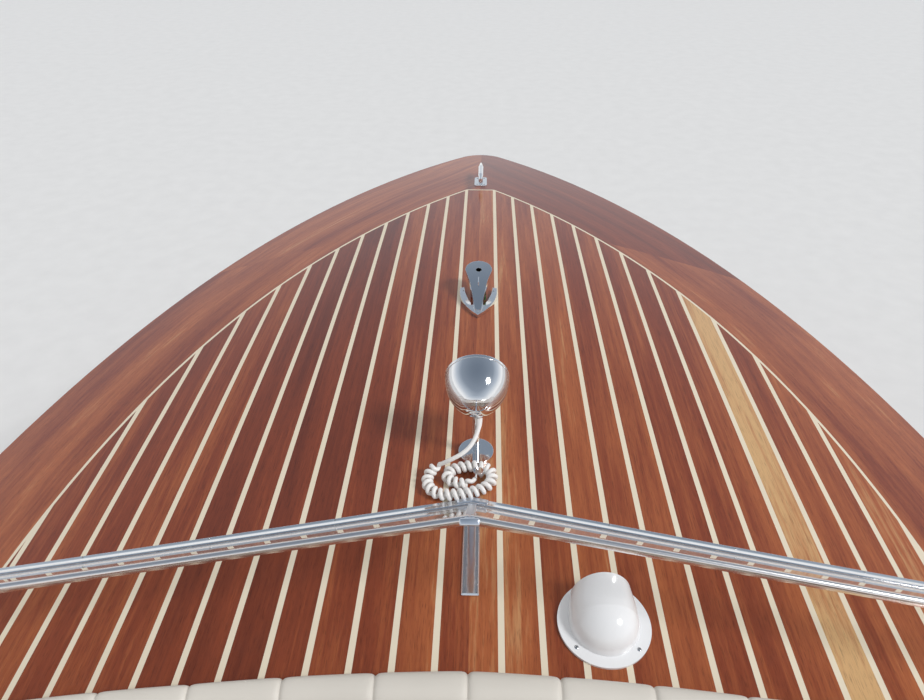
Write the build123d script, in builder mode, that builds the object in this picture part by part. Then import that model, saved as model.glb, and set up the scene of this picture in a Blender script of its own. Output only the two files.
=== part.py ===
from build123d import *
from math import asin, atan, cos, degrees, pi, radians, sin, sqrt, tan
import os

# Open planked runabout with an inboard engine, afloat.
# Millimetres. +X starboard, +Y forward, +Z up. The origin is on the waterline, amidships.

os.makedirs("parts", exist_ok=True)

# Blocks that only cut: larger than the boat, and higher than anything on it
CUT_SIZE = 9000.0
CUT_HEIGHT = 1500.0
CUT_DEPTH = 400.0

# Hull
BOW_Y = 3150.0
STERN_Y = -3150.0

# Topsides: one row for each level, from below the keel to above the deck.
# height, stem setback, half beam, its distance from the bow, half transom, transom setback,
# nose radius, entry angle, shoulder angle
SIDE_LEVELS = [
    (-420.0, 900.0, 900.0, 3250.0, 840.0, 0.0, 40.0, 30.0, 21.0),
    (100.0, 520.0, 1000.0, 3000.0, 910.0, 24.5, 55.0, 34.0, 24.0),
    (500.0, 250.0, 1085.0, 2700.0, 935.0, 43.3, 80.0, 40.0, 28.0),
    (960.0, -62.0, 1130.0, 2430.0, 930.0, 65.0, 115.0, 45.0, 32.0),
]

# Bottom: station, keel height, half width of the form, deadrise angle
BOTTOM_STATIONS = [
    (-3300.0, -290.0, 1250.0, 12.0),
    (-2200.0, -318.0, 1250.0, 14.0),
    (-1100.0, -345.0, 1250.0, 16.7),
    (0.0, -366.0, 1250.0, 20.3),
    (900.0, -370.0, 1200.0, 26.0),
    (1700.0, -325.0, 1000.0, 38.0),
    (2400.0, -160.0, 700.0, 54.0),
    (3300.0, 250.0, 380.0, 70.0),
]
BOTTOM_TOP = 1500.0

# Deck: an arc along the boat that runs into a straight line aft, and an arc across it
DECK_CREST_Y = 1863.0
DECK_CREST_Z = 900.0
DECK_PROFILE_RADIUS = 19400.0
DECK_KNUCKLE_Y = 830.0
CAMBER_RADIUS = 5700.0
DECK_THICKNESS = 16.0

# Planking
PLANK_PITCH = 65.0
KING_PITCH = 101.6
SEAM_WIDTH = 10.5
MARGIN_SEAM_WIDTH = 7.0
PLANK_COUNT = 12
MARGIN_START = (50.0, 450.0)
MARGIN_KNUCKLE = (500.0, 1030.0)
MARGIN_KNUCKLE_ANGLE = 31.0
MARGIN_END = (850.0, 2120.0)
AFT_DECK_HALF_WIDTH = 640.0

# Cockpit and engine bay
COCKPIT_FRONT_Y = 798.0
COCKPIT_BACK_Y = -1600.0
COCKPIT_HALF_WIDTH = 800.0
COCKPIT_ARCH = 40.0
COCKPIT_FRONT_RADIUS = 140.0
COCKPIT_BACK_RADIUS = 60.0
SOLE_Z = 20.0
SOLE_THICKNESS = 22.0
SOLE_GAP = 4.0
BAY_FRONT_Y = -1740.0
BAY_BACK_Y = -2640.0
BAY_HALF_WIDTH = 500.0
BAY_FLOOR_Z = -60.0
ENGINE_LENGTH = 760.0
ENGINE_WIDTH = 520.0
ENGINE_HEIGHT = 520.0
ENGINE_CHAMFER = 60.0
HATCH_FRONT_Y = -1680.0
HATCH_BACK_Y = -2700.0
HATCH_HALF_WIDTH = 570.0
HATCH_GAP = 6.0
HATCH_REST_GAP = 0.5

# Coaming roll
ROLL_HALF_WIDTH = 31.0
ROLL_RISE = 36.0
ROLL_DROP = 45.0
SOFT_GAP = 0.4
ROLL_BACK_INSET = 140.0

# Side liners
LINER_GAP = 0.5
LINER_THICKNESS = 12.0
LINER_HEIGHT = 560.0
LINER_LIFT = 30.0
LINER_FRONT_INSET = 260.0
LINER_BACK_INSET = 150.0

# Windshield
SHIELD_Y = 1149.0
SHIELD_SWEEP = 13.0
SHIELD_RAKE = 45.0
SHIELD_SLANT = 330.0
SHIELD_END_SLANT = 290.0
SHIELD_HALF_SPAN = 1000.0
GLASS_THICKNESS = 6.0
CHANNEL_WIDTH = 16.0
CHANNEL_HEIGHT = 20.0
RAIL_WIDTH = 14.0
RAIL_DEPTH = 20.0

# Underwater gear
SHAFT_ANGLE = 10.0
SHAFT_RADIUS = 14.0
SHAFT_GAP = 2.0
SHAFT_LENGTH = 1150.0
PROPELLER_Y = -2680.0
PROPELLER_Z = -490.0
RUDDER_Y = -2945.0
STOCK_RADIUS = 16.0
HUB_RADIUS = 32.0
HUB_LENGTH = 78.0
BLADES = 3
PITCH = 320.0
STRUT_AHEAD = 150.0
STRUT_LENGTH = 100.0
STRUT_BARREL_RADIUS = 27.0
STRUT_ARM_WIDTH = 22.0
RUDDER_LEAD = 80.0
RUDDER_TRAIL = 175.0
RUDDER_THICKNESS = 24.0
RUDDER_TOP_Z = -322.0
RUDDER_HEIGHT = 330.0
STOCK_LENGTH = 260.0
RUDDER_TRUNK = 622.0
SHAFT_HOLE_OVER = 20.0
BEARING_FOOT_Z = -306.0
BEARING_LENGTH = 246.0
KEEL_WIDTH = 46.0
KEEL_DEPTH = 45.0
KEEL_FRONT_Y = 1500.0
KEEL_FRONT_RISE = 350.0
KEEL_BACK_Y = -1850.0
KEEL_LINE_Z = -366.0
KEEL_TOP_Z = -250.0

# Hull trim
TRANSOM_THICKNESS = 30.0
EXHAUST_X = 420.0
EXHAUST_Z = 60.0
EXHAUST_RADIUS = 38.0
EXHAUST_REACH = 15.0
EXHAUST_WALL = 3.0
RAIL_PROUD = 16.0
RUB_DROP = 26.0
RUB_HEIGHT = 30.0
RUB_END_INSET = 120.0
STEM_BAND_REACH = 70.0
AFT_DECK_FRONT_Y = -2790.0
AFT_DECK_BACK_Y = -3010.0

# Seats
SEAT_WALL_GAP = 2.0
SEAT_BASE_HEIGHT = 235.0
SEAT_BASE_INSET = 40.0
CUSHION_ROUNDING = 25.0
CUSHION_HEIGHT = 105.0
BACK_THICKNESS = 110.0
FRONT_SEAT_INNER = 110.0
FRONT_SEAT_OUTER = 720.0
FRONT_SEAT_FRONT_Y = 60.0
FRONT_SEAT_BACK_Y = -440.0
FRONT_BACK_TOP_Z = 690.0
REAR_SEAT_HALF_WIDTH = 740.0
REAR_SEAT_FRONT_Y = -1010.0
REAR_BACK_TOP_Z = 800.0
BACK_RAKE = 12.0
PAD_HEIGHT = 85.0
PAD_INSET = 30.0
PAD_FORWARD = 55.0
PAD_ROUNDING = 60.0

# Dashboard and steering
DASH_HALF_WIDTH = 770.0
DASH_TOP = (722.0, 815.0)
DASH_BOTTOM = (672.0, 540.0)
DASH_RADIUS = 18.0
GAUGE_DEPTH = 14.0
GAUGES = [
    # across, down the dash from its middle, radius
    (270.0, 15.0, 45.0),
    (530.0, 15.0, 45.0),
    (20.0, 30.0, 28.0),
    (-70.0, 30.0, 28.0),
    (110.0, 30.0, 28.0),
]
WHEEL_X = 400.0
WHEEL_RAKE = 25.0
WHEEL_RADIUS = 185.0
WHEEL_RIM_RADIUS = 13.0
WHEEL_HUB_RADIUS = 38.0
WHEEL_HUB_LENGTH = 40.0
WHEEL_SPOKES = 3
WHEEL_GAP = 0.5
COLUMN_SEAT = 40.0
BEZEL_WIDTH = 6.0
COLUMN_RADIUS = 22.0
COLUMN_LENGTH = 185.0
COLUMN_START = (700.0, 660.0)
STEERING_SHAFT_RADIUS = 9.0
STEERING_SHAFT_SHARE = 0.6
SPOKE_THICKNESS = 10.0
SPOKE_WIDTH = 26.0
SPOKE_ROUNDING = 4.0
RUNNING_GAP = 0.05
THROTTLE_X = 665.0
THROTTLE_FOOT = (44.0, 120.0, 10.0)
THROTTLE_FOOT_ROUNDING = 10.0
THROTTLE_UP = 10.0
THROTTLE_ROD_RADIUS = 7.0
THROTTLE_ROD_LENGTH = 85.0
THROTTLE_KNOB_RISE = 100.0
THROTTLE_KNOB_RADIUS = 18.0

# Windshield details
GLASS_LIFT = 8.0
POST_GAP = 3.0
POST_WIDTH = 18.0
POST_DEPTH = 20.0
POST_ROUNDING = 3.0
TOP_CAP_WIDTH = 30.0
TOP_CAP_HEIGHT = 24.0
TOP_CAP_OVER = 9.0
CORNER_CAP_HALF_WIDTH = 26.0
CORNER_CAP_THICKNESS = 6.0
SHIELD_OVERLAP = 60.0
FLANGE_REACH = 11.0
FLANGE_THICKNESS = 3.0
RAIL_OVER = 6.0
END_WIDTH = 9.0
STRAP_FRONT_Y = 1136.0
STRAP_WIDTH = 30.0
STRAP_THICKNESS = 5.0
STRAP_BACK_Y = 959.0

# Deck fittings
BAND_THICKNESS = 4.0
BAND_HALF_WIDTH = 26.0
LAMP_RADIUS = 62.0
LAMP_DEPTH = 84.0
LAMP_NOSE_RADIUS = 46.0
LAMP_WALL = 2.5
LAMP_RIM = 6.0
LAMP_RIM_PROUD = 1.2
LAMP_AHEAD = 54.0
LAMP_TILT = 9.0
LAMP_LENS_THICKNESS = 3.0
LAMP_FOOT_RADIUS = 35.0
LAMP_FOOT_HEIGHT = 9.0
LAMP_POST_RADIUS = 7.0
LEAD_RADIUS = 4.0
CURLY_RADIUS = 11.5
GLAND_X = 10.6
GLAND_Y = 1212.4
GLAND_RADIUS = 10.0
GLAND_HEIGHT = 27.0
COWL_HOOD_RADIUS = 57.0
# The cowl's throat, ahead of its dome: distance from the middle, half width, height
COWL_THROAT = [
    (0.0, 57.0, 57.0),
    (34.0, 54.0, 58.0),
    (50.0, 50.0, 67.0),
]
SOCKET_SHIFT = 51.0
CLEAT_FOOT_WIDTH = 46.0
CLEAT_RISE = 42.0
SEARCHLIGHT_X = 5.0
SEARCHLIGHT_Y = 1284.0
SEARCHLIGHT_RISE = 150.0
COWL_X = 215.0
COWL_Y = 917.0
COWL_RADIUS = 75.0
COWL_WALL = 4.0
LIGHT_X = 2.0
LIGHT_Y = 1870.0
LIGHT_RISE = 74.0
LIGHT_FOOT_HEIGHT = 11.0
HOOD_HALF_WIDTH = 36.0
HOOD_REACH = 90.0
LENS_RADIUS = 21.0
LENS_SHIFT = 15.0
SOCKET_RADIUS = 8.0
SOCKET_FLOOR = 6.0
CLEAT_Y = 2777.0
CLEAT_LENGTH = 190.0
STERN_CLEAT_X = 800.0
STERN_CLEAT_Y = -2880.0
STERN_CLEAT_LENGTH = 150.0


def deck_height(y):
    """Height of the deck on the centreline."""
    if y >= DECK_KNUCKLE_Y:
        reach = y - DECK_CREST_Y
        return DECK_CREST_Z - DECK_PROFILE_RADIUS + sqrt(DECK_PROFILE_RADIUS**2 - reach**2)
    slope = (DECK_CREST_Y - DECK_KNUCKLE_Y) / sqrt(
        DECK_PROFILE_RADIUS**2 - (DECK_CREST_Y - DECK_KNUCKLE_Y) ** 2
    )
    return deck_height(DECK_KNUCKLE_Y) - slope * (DECK_KNUCKLE_Y - y)


def deck_z(x, y):
    """Height of the deck at any place."""
    return deck_height(y) - CAMBER_RADIUS + sqrt(CAMBER_RADIUS**2 - x**2)


def deck_plane(x, y, rise=0.0):
    """A plane that lies on the deck, with its own y axis forward."""
    step = 10.0
    across = Vector(2 * step, 0, deck_z(x + step, y) - deck_z(x - step, y))
    along = Vector(0, 2 * step, deck_z(x, y + step) - deck_z(x, y - step))
    normal = across.cross(along).normalized()
    plane = Plane(origin=(x, y, deck_z(x, y)), x_dir=across.normalized(), z_dir=normal)
    return plane.offset(rise)


def deck_form(depth):
    """Everything under the deck's surface, once that surface is lowered by depth."""
    reach = 400.0
    radius = DECK_PROFILE_RADIUS - depth
    camber = CAMBER_RADIUS - depth
    bow_angle = degrees(asin((BOW_Y + reach - DECK_CREST_Y) / DECK_PROFILE_RADIUS))
    knuckle_angle = degrees(asin((DECK_CREST_Y - DECK_KNUCKLE_Y) / DECK_PROFILE_RADIUS))
    straight = DECK_KNUCKLE_Y - STERN_Y + reach
    half = 1300.0
    drop = camber - sqrt(camber**2 - half**2)
    deep = 2200.0
    with BuildPart() as form:
        with BuildLine(Plane.YZ) as profile:
            arc = CenterArc(
                (DECK_CREST_Y, DECK_CREST_Z - DECK_PROFILE_RADIUS),
                radius,
                90 - bow_angle,
                bow_angle + knuckle_angle,
            )
            PolarLine(arc @ 1, straight, direction=arc % 1)
        start = profile.line
        with BuildSketch(Plane(origin=start @ 0, x_dir=(1, 0, 0), z_dir=start % 0)):
            with BuildLine():
                top = ThreePointArc((-half, -drop), (0, 0), (half, -drop))
                Polyline(top @ 1, (half, -deep), (-half, -deep), top @ 0)
            make_face()
        sweep(path=profile.line)
    return form.part


def side_outline(level, grow=0.0):
    """Half of the hull's plan outline at one level, as (points, tangents) for the arcs."""
    setback, half_beam, beam_reach, transom, transom_setback, nose, entry, shoulder = level[1:]
    nose = nose + grow
    tip = BOW_Y - setback + grow
    entry_a, shoulder_a = radians(entry), radians(shoulder)
    start = (nose * cos(entry_a), tip - nose + nose * sin(entry_a))
    widest = (half_beam + grow, BOW_Y - beam_reach)
    across = widest[0] - start[0]
    along = start[1] - widest[1]
    first = (entry_a + shoulder_a) / 2
    second = shoulder_a / 2
    chord = (across * cos(second) - along * sin(second)) / sin(first - second)
    knee = (start[0] + chord * sin(first), start[1] - chord * cos(first))
    corner = (transom + grow, STERN_Y + transom_setback - grow)
    return (0.0, tip), start, (sin(entry_a), -cos(entry_a)), knee, widest, corner


def side_form(grow=0.0):
    """The hull's sides as one solid, from below the keel to above the deck."""
    with BuildPart() as form:
        for level in SIDE_LEVELS:
            tip, start, heading, knee, widest, corner = side_outline(level, grow)
            with BuildSketch(Plane.XY.offset(level[0])):
                with BuildLine():
                    ThreePointArc((-start[0], start[1]), tip, start)
                    bow = TangentArc(start, knee, tangent=heading)
                    side = TangentArc(knee, widest, tangent=bow % 1)
                    quarter = TangentArc(widest, corner, tangent=(0, -1))
                    Line(corner, (-corner[0], corner[1]))
                    mirror([bow, side, quarter], about=Plane.YZ)
                make_face()
        loft()
    return form.part


def bottom_form():
    """Everything above the V bottom."""
    with BuildPart() as form:
        for station, keel, half, deadrise in BOTTOM_STATIONS:
            rise = keel + half * tan(radians(deadrise))
            with BuildSketch(Plane.XZ.offset(-station)):
                with BuildLine():
                    Polyline(
                        (0, keel),
                        (half, rise),
                        (half, BOTTOM_TOP),
                        (-half, BOTTOM_TOP),
                        (-half, rise),
                        (0, keel),
                    )
                make_face()
        loft()
    return form.part


def cockpit_outline(height, grow=0.0):
    """The cockpit's opening in plan."""
    half = COCKPIT_HALF_WIDTH + grow
    front = COCKPIT_FRONT_Y + grow
    back = COCKPIT_BACK_Y - grow
    with BuildSketch(Plane.XY.offset(height)) as outline:
        with BuildLine():
            shoulder = front - COCKPIT_ARCH
            arch = ThreePointArc((-half, shoulder), (0, front), (half, shoulder))
            Polyline(arch @ 1, (half, back), (-half, back), arch @ 0)
        make_face()
        fillet(outline.vertices().group_by(Axis.Y)[-1], COCKPIT_FRONT_RADIUS + grow)
        fillet(outline.vertices().group_by(Axis.Y)[0], COCKPIT_BACK_RADIUS + grow)
    return outline.sketch


def margin_outline(height):
    """The planked part of the foredeck in plan."""
    start = (MARGIN_START[0], BOW_Y - MARGIN_START[1])
    knee = (MARGIN_KNUCKLE[0], BOW_Y - MARGIN_KNUCKLE[1])
    end = (MARGIN_END[0], BOW_Y - MARGIN_END[1])
    angle = radians(MARGIN_KNUCKLE_ANGLE)
    heading = Vector(sin(angle), -cos(angle))
    with BuildSketch(Plane.XY.offset(height)) as outline:
        with BuildLine():
            fore = TangentArc(knee, start, tangent=-heading)
            aft = TangentArc(knee, end, tangent=heading)
            after = Line(end, (end[0], COCKPIT_FRONT_Y - COCKPIT_ARCH))
            mirror([fore, aft, after], about=Plane.YZ)
            Line(start, (-start[0], start[1]))
            Line(after @ 1, (-end[0], COCKPIT_FRONT_Y - COCKPIT_ARCH))
        make_face()
    return outline.sketch


def keep(piece, name):
    """Labels a finished piece and writes it."""
    piece.part.label = name
    export_step(piece.part, "parts/" + name + ".step")


wheel_axis = Vector(0, -cos(radians(WHEEL_RAKE)), sin(radians(WHEEL_RAKE)))

# The main forms that the pieces are cut from
sides = side_form()
bottom = bottom_form()
deck_top = deck_form(0.0)
deck_under = deck_form(DECK_THICKNESS)
deck_ledge = deck_form(DECK_THICKNESS - HATCH_REST_GAP)

with BuildPart() as deck_layer:
    add(sides)
    add(deck_top, mode=Mode.INTERSECT)
    add(deck_under, mode=Mode.SUBTRACT)

# Hull
with BuildPart() as hull_blank:
    add(sides)
    add(bottom, mode=Mode.INTERSECT)

transom_plane = Plane(
    origin=(0, STERN_Y, SIDE_LEVELS[0][0]),
    x_dir=(1, 0, 0),
    z_dir=(0, SIDE_LEVELS[0][0] - SIDE_LEVELS[-1][0], SIDE_LEVELS[-1][5]),
)
transom_inside = transom_plane.offset(-TRANSOM_THICKNESS)
shaft_axis = Vector(0, -cos(radians(SHAFT_ANGLE)), -sin(radians(SHAFT_ANGLE)))
shaft_plane = Plane(origin=(0, PROPELLER_Y, PROPELLER_Z), x_dir=(1, 0, 0), z_dir=shaft_axis)

with BuildPart() as hull:
    add(hull_blank.part)
    add(deck_under, mode=Mode.INTERSECT)
    extrude(cockpit_outline(SOLE_Z - SOLE_THICKNESS), amount=CUT_HEIGHT, mode=Mode.SUBTRACT)
    with BuildSketch(Plane.XY.offset(BAY_FLOOR_Z)):
        with Locations((0, (BAY_FRONT_Y + BAY_BACK_Y) / 2)):
            Rectangle(2 * BAY_HALF_WIDTH, BAY_FRONT_Y - BAY_BACK_Y)
    extrude(amount=CUT_HEIGHT, mode=Mode.SUBTRACT)
    with BuildSketch(transom_inside):
        Rectangle(CUT_SIZE, CUT_SIZE)
    extrude(amount=CUT_DEPTH, mode=Mode.SUBTRACT)
    with BuildSketch(Plane.XY.offset(RUDDER_TOP_Z - CUT_DEPTH)):
        with Locations((0, RUDDER_Y)):
            Circle(STOCK_RADIUS + SHAFT_GAP)
    extrude(amount=CUT_DEPTH + RUDDER_TRUNK, mode=Mode.SUBTRACT)
    with BuildSketch(shaft_plane):
        Circle(SHAFT_RADIUS + SHAFT_GAP)
    extrude(amount=-SHAFT_LENGTH - SHAFT_HOLE_OVER, mode=Mode.SUBTRACT)
keep(hull, "hull")

with BuildPart() as transom:
    add(hull_blank.part)
    add(deck_under, mode=Mode.INTERSECT)
    with BuildSketch(transom_inside):
        Rectangle(CUT_SIZE, CUT_SIZE)
    extrude(amount=-CUT_SIZE, mode=Mode.SUBTRACT)
    with BuildSketch(Plane.XZ.offset(-STERN_Y - CUT_DEPTH / 2)):
        with Locations((-EXHAUST_X, EXHAUST_Z), (EXHAUST_X, EXHAUST_Z)):
            Circle(EXHAUST_RADIUS)
    extrude(amount=CUT_DEPTH, mode=Mode.SUBTRACT)
keep(transom, "transom")

with BuildPart() as exhausts:
    with BuildSketch(Plane.XZ.offset(-STERN_Y + EXHAUST_REACH)):
        with Locations((-EXHAUST_X, EXHAUST_Z), (EXHAUST_X, EXHAUST_Z)):
            Circle(EXHAUST_RADIUS)
            Circle(EXHAUST_RADIUS - EXHAUST_WALL, mode=Mode.SUBTRACT)
    extrude(amount=-EXHAUST_REACH - 2 * TRANSOM_THICKNESS)
    with BuildSketch(transom_inside):
        Rectangle(CUT_SIZE, CUT_SIZE)
    extrude(amount=-CUT_DEPTH, mode=Mode.SUBTRACT)
keep(exhausts, "exhaust_outlets")

# Keel with its deadwood, cut to the bottom that it lies against
with BuildPart() as keel:
    with BuildSketch(Plane.YZ):
        with BuildLine():
            Polyline(
                (KEEL_BACK_Y, KEEL_TOP_Z),
                (KEEL_BACK_Y, KEEL_LINE_Z - KEEL_DEPTH),
                (KEEL_FRONT_Y - KEEL_FRONT_RISE, KEEL_LINE_Z - KEEL_DEPTH),
                (KEEL_FRONT_Y, KEEL_TOP_Z),
                close=True,
            )
        make_face()
    extrude(amount=KEEL_WIDTH / 2, both=True)
    add(bottom, mode=Mode.SUBTRACT)
    with BuildSketch(shaft_plane):
        Circle(SHAFT_RADIUS + SHAFT_GAP)
    extrude(amount=-SHAFT_LENGTH - SHAFT_HOLE_OVER, mode=Mode.SUBTRACT)
keep(keel, "keel")

# Rub rails along the sheer
with BuildPart() as rub_rails:
    add(side_form(RAIL_PROUD))
    add(deck_form(RUB_DROP), mode=Mode.INTERSECT)
    add(deck_form(RUB_DROP + RUB_HEIGHT), mode=Mode.SUBTRACT)
    add(sides, mode=Mode.SUBTRACT)
    with BuildSketch(Plane.XZ.offset(-BOW_Y + STEM_BAND_REACH)):
        Rectangle(CUT_SIZE, CUT_SIZE)
    extrude(amount=-CUT_HEIGHT, mode=Mode.SUBTRACT)
    with BuildSketch(Plane.XZ.offset(-STERN_Y - RUB_END_INSET)):
        Rectangle(CUT_SIZE, CUT_SIZE)
    extrude(amount=CUT_HEIGHT, mode=Mode.SUBTRACT)
keep(rub_rails, "rub_rails")

# Covering boards, one each side, round the whole deck
planked = margin_outline(0)
cockpit = cockpit_outline(0)
with BuildPart() as boards:
    add(deck_layer.part)
    extrude(planked, amount=CUT_HEIGHT, mode=Mode.SUBTRACT)
    extrude(cockpit, amount=CUT_HEIGHT, mode=Mode.SUBTRACT)
    with BuildSketch():
        with Locations((0, (HATCH_FRONT_Y + HATCH_BACK_Y) / 2)):
            Rectangle(2 * HATCH_HALF_WIDTH, HATCH_FRONT_Y - HATCH_BACK_Y)
        with Locations((0, (AFT_DECK_FRONT_Y + AFT_DECK_BACK_Y) / 2)):
            Rectangle(2 * AFT_DECK_HALF_WIDTH, AFT_DECK_FRONT_Y - AFT_DECK_BACK_Y)
    extrude(amount=CUT_HEIGHT, mode=Mode.SUBTRACT)
for side, name in ((1, "covering_board_starboard"), (-1, "covering_board_port")):
    with BuildPart() as board:
        add(boards.part)
        with BuildSketch(Plane.YZ):
            Rectangle(CUT_SIZE, CUT_SIZE)
        extrude(amount=-side * CUT_SIZE, mode=Mode.SUBTRACT)
    keep(board, name)

# Planks and the light seams between them
seam_places = []
for index in range(PLANK_COUNT + 1):
    seam_places.append(KING_PITCH / 2 + index * PLANK_PITCH)
with BuildPart() as planking_layer:
    with BuildSketch():
        add(planked)
        with Locations((0, (AFT_DECK_FRONT_Y + AFT_DECK_BACK_Y) / 2)):
            Rectangle(2 * AFT_DECK_HALF_WIDTH, AFT_DECK_FRONT_Y - AFT_DECK_BACK_Y)
    extrude(amount=CUT_HEIGHT)
    extrude(cockpit, amount=CUT_HEIGHT, mode=Mode.SUBTRACT)
    add(deck_layer.part, mode=Mode.INTERSECT)

with BuildPart() as seam_form:
    with BuildSketch():
        offset(planked, -MARGIN_SEAM_WIDTH, kind=Kind.INTERSECTION)
        with Locations((0, (AFT_DECK_FRONT_Y + AFT_DECK_BACK_Y) / 2)):
            Rectangle(
                2 * (AFT_DECK_HALF_WIDTH - MARGIN_SEAM_WIDTH),
                AFT_DECK_FRONT_Y - AFT_DECK_BACK_Y - 2 * MARGIN_SEAM_WIDTH,
            )
        for place in seam_places:
            with Locations((-place, 0), (place, 0)):
                Rectangle(SEAM_WIDTH, CUT_SIZE, mode=Mode.SUBTRACT)
    extrude(amount=CUT_HEIGHT)

with BuildPart() as deck_planks:
    add(planking_layer.part)
    add(seam_form.part, mode=Mode.INTERSECT)
keep(deck_planks, "deck_planks")

with BuildPart() as deck_seams:
    add(planking_layer.part)
    add(seam_form.part, mode=Mode.SUBTRACT)
keep(deck_seams, "deck_seams")

# Engine hatch
with BuildPart() as hatch:
    add(deck_top)
    add(deck_ledge, mode=Mode.SUBTRACT)
    with BuildSketch():
        with Locations((0, (HATCH_FRONT_Y + HATCH_BACK_Y) / 2)):
            Rectangle(
                2 * (HATCH_HALF_WIDTH - HATCH_GAP),
                HATCH_FRONT_Y - HATCH_BACK_Y - 2 * HATCH_GAP,
            )
    extrude(amount=CUT_HEIGHT, mode=Mode.INTERSECT)
keep(hatch, "engine_hatch")

# Cockpit sole and side liners
with BuildPart() as sole:
    extrude(cockpit_outline(SOLE_Z - SOLE_THICKNESS, -SOLE_GAP), amount=SOLE_THICKNESS)
keep(sole, "cockpit_sole")

with BuildPart() as side_liners:
    extrude(cockpit_outline(SOLE_Z + LINER_LIFT, -LINER_GAP), amount=LINER_HEIGHT)
    extrude(
        cockpit_outline(SOLE_Z + LINER_LIFT, -LINER_GAP - LINER_THICKNESS),
        amount=LINER_HEIGHT,
        mode=Mode.SUBTRACT,
    )
    with BuildSketch():
        with Locations((0, COCKPIT_FRONT_Y)):
            Rectangle(CUT_SIZE, 2 * LINER_FRONT_INSET)
        with Locations((0, COCKPIT_BACK_Y)):
            Rectangle(CUT_SIZE, 2 * LINER_BACK_INSET)
    extrude(amount=CUT_HEIGHT, mode=Mode.SUBTRACT)
keep(side_liners, "side_liners")

# Padded coaming roll: it lies on the deck's edge and hangs over it into the cockpit
with BuildPart() as roll_lip:
    extrude(cockpit_outline(0, -SOFT_GAP), amount=CUT_HEIGHT)
    add(deck_form(-ROLL_RISE), mode=Mode.INTERSECT)
    add(deck_form(ROLL_DROP), mode=Mode.SUBTRACT)

with BuildPart() as coaming_roll:
    extrude(cockpit_outline(0, ROLL_HALF_WIDTH), amount=CUT_HEIGHT)
    add(deck_form(-ROLL_RISE), mode=Mode.INTERSECT)
    add(deck_form(-SOFT_GAP), mode=Mode.SUBTRACT)
    add(roll_lip.part)
    extrude(cockpit_outline(0, -ROLL_HALF_WIDTH), amount=CUT_HEIGHT, mode=Mode.SUBTRACT)
    with BuildSketch():
        with Locations((0, COCKPIT_BACK_Y)):
            Rectangle(CUT_SIZE, 2 * ROLL_BACK_INSET)
    extrude(amount=CUT_HEIGHT, mode=Mode.SUBTRACT)
keep(coaming_roll, "coaming_roll")


def seat_box(across, front, back, bottom, top):
    """A plain upright block between two places across the boat."""
    middle = ((across[0] + across[1]) / 2, (front + back) / 2)
    with BuildPart() as block:
        with BuildSketch(Plane.XY.offset(bottom)):
            with Locations(middle):
                Rectangle(across[1] - across[0], front - back)
        extrude(amount=top - bottom)
    return block.part


def seat_back(across, foot_y, foot_z, top_z):
    """A raked backrest, rounded along its edges."""
    lean = tan(radians(BACK_RAKE))
    rise = top_z - foot_z
    with BuildPart() as rest:
        with BuildSketch(Plane.YZ.offset(across[0])):
            with BuildLine():
                Polyline(
                    (foot_y, foot_z),
                    (foot_y - rise * lean, top_z),
                    (foot_y - rise * lean - BACK_THICKNESS, top_z),
                    (foot_y - BACK_THICKNESS, foot_z),
                    close=True,
                )
            make_face()
        extrude(amount=across[1] - across[0])
        fillet(rest.edges().filter_by(Axis.X), BACK_THICKNESS / 4)
    return rest.part


# Front seats, one each side of the passage
front_base_top = SOLE_Z + SEAT_BASE_HEIGHT
front_cushion_top = front_base_top + CUSHION_HEIGHT
front_span = {
    "starboard": (FRONT_SEAT_INNER, FRONT_SEAT_OUTER),
    "port": (-FRONT_SEAT_OUTER, -FRONT_SEAT_INNER),
}
with BuildPart() as front_bases:
    for span in front_span.values():
        add(
            seat_box(
                span,
                FRONT_SEAT_FRONT_Y - SEAT_BASE_INSET,
                FRONT_SEAT_BACK_Y,
                SOLE_Z,
                front_base_top,
            )
        )
keep(front_bases, "front_seat_bases")
for side, span in front_span.items():
    with BuildPart() as cushion:
        add(
            seat_box(
                span,
                FRONT_SEAT_FRONT_Y,
                FRONT_SEAT_BACK_Y + BACK_THICKNESS + SOFT_GAP,
                front_base_top + SOFT_GAP,
                front_cushion_top,
            )
        )
        fillet(cushion.edges().group_by(Axis.Z)[-1], CUSHION_ROUNDING)
    keep(cushion, "front_cushion_" + side)
    with BuildPart() as back:
        add(
            seat_back(
                span,
                FRONT_SEAT_BACK_Y + BACK_THICKNESS - SOFT_GAP,
                front_base_top + SOFT_GAP,
                FRONT_BACK_TOP_Z,
            )
        )
    keep(back, "front_back_" + side)

# Rear seat across the whole cockpit
rear_span = (-REAR_SEAT_HALF_WIDTH, REAR_SEAT_HALF_WIDTH)
rear_back_y = COCKPIT_BACK_Y + BACK_THICKNESS + SEAT_WALL_GAP
with BuildPart() as rear_base:
    add(
        seat_box(
            rear_span,
            REAR_SEAT_FRONT_Y - SEAT_BASE_INSET,
            COCKPIT_BACK_Y + SEAT_WALL_GAP,
            SOLE_Z,
            front_base_top,
        )
    )
keep(rear_base, "rear_seat_base")
rear_foot_y = rear_back_y + (REAR_BACK_TOP_Z - front_base_top) * tan(radians(BACK_RAKE))
with BuildPart() as rear_cushion:
    add(
        seat_box(
            rear_span,
            REAR_SEAT_FRONT_Y,
            rear_foot_y + SOFT_GAP,
            front_base_top + SOFT_GAP,
            front_cushion_top,
        )
    )
    fillet(rear_cushion.edges().group_by(Axis.Z)[-1], CUSHION_ROUNDING)
keep(rear_cushion, "rear_cushion")
with BuildPart() as rear_back:
    add(seat_back(rear_span, rear_foot_y - SOFT_GAP, front_base_top + SOFT_GAP, REAR_BACK_TOP_Z))
keep(rear_back, "rear_back")

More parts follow.
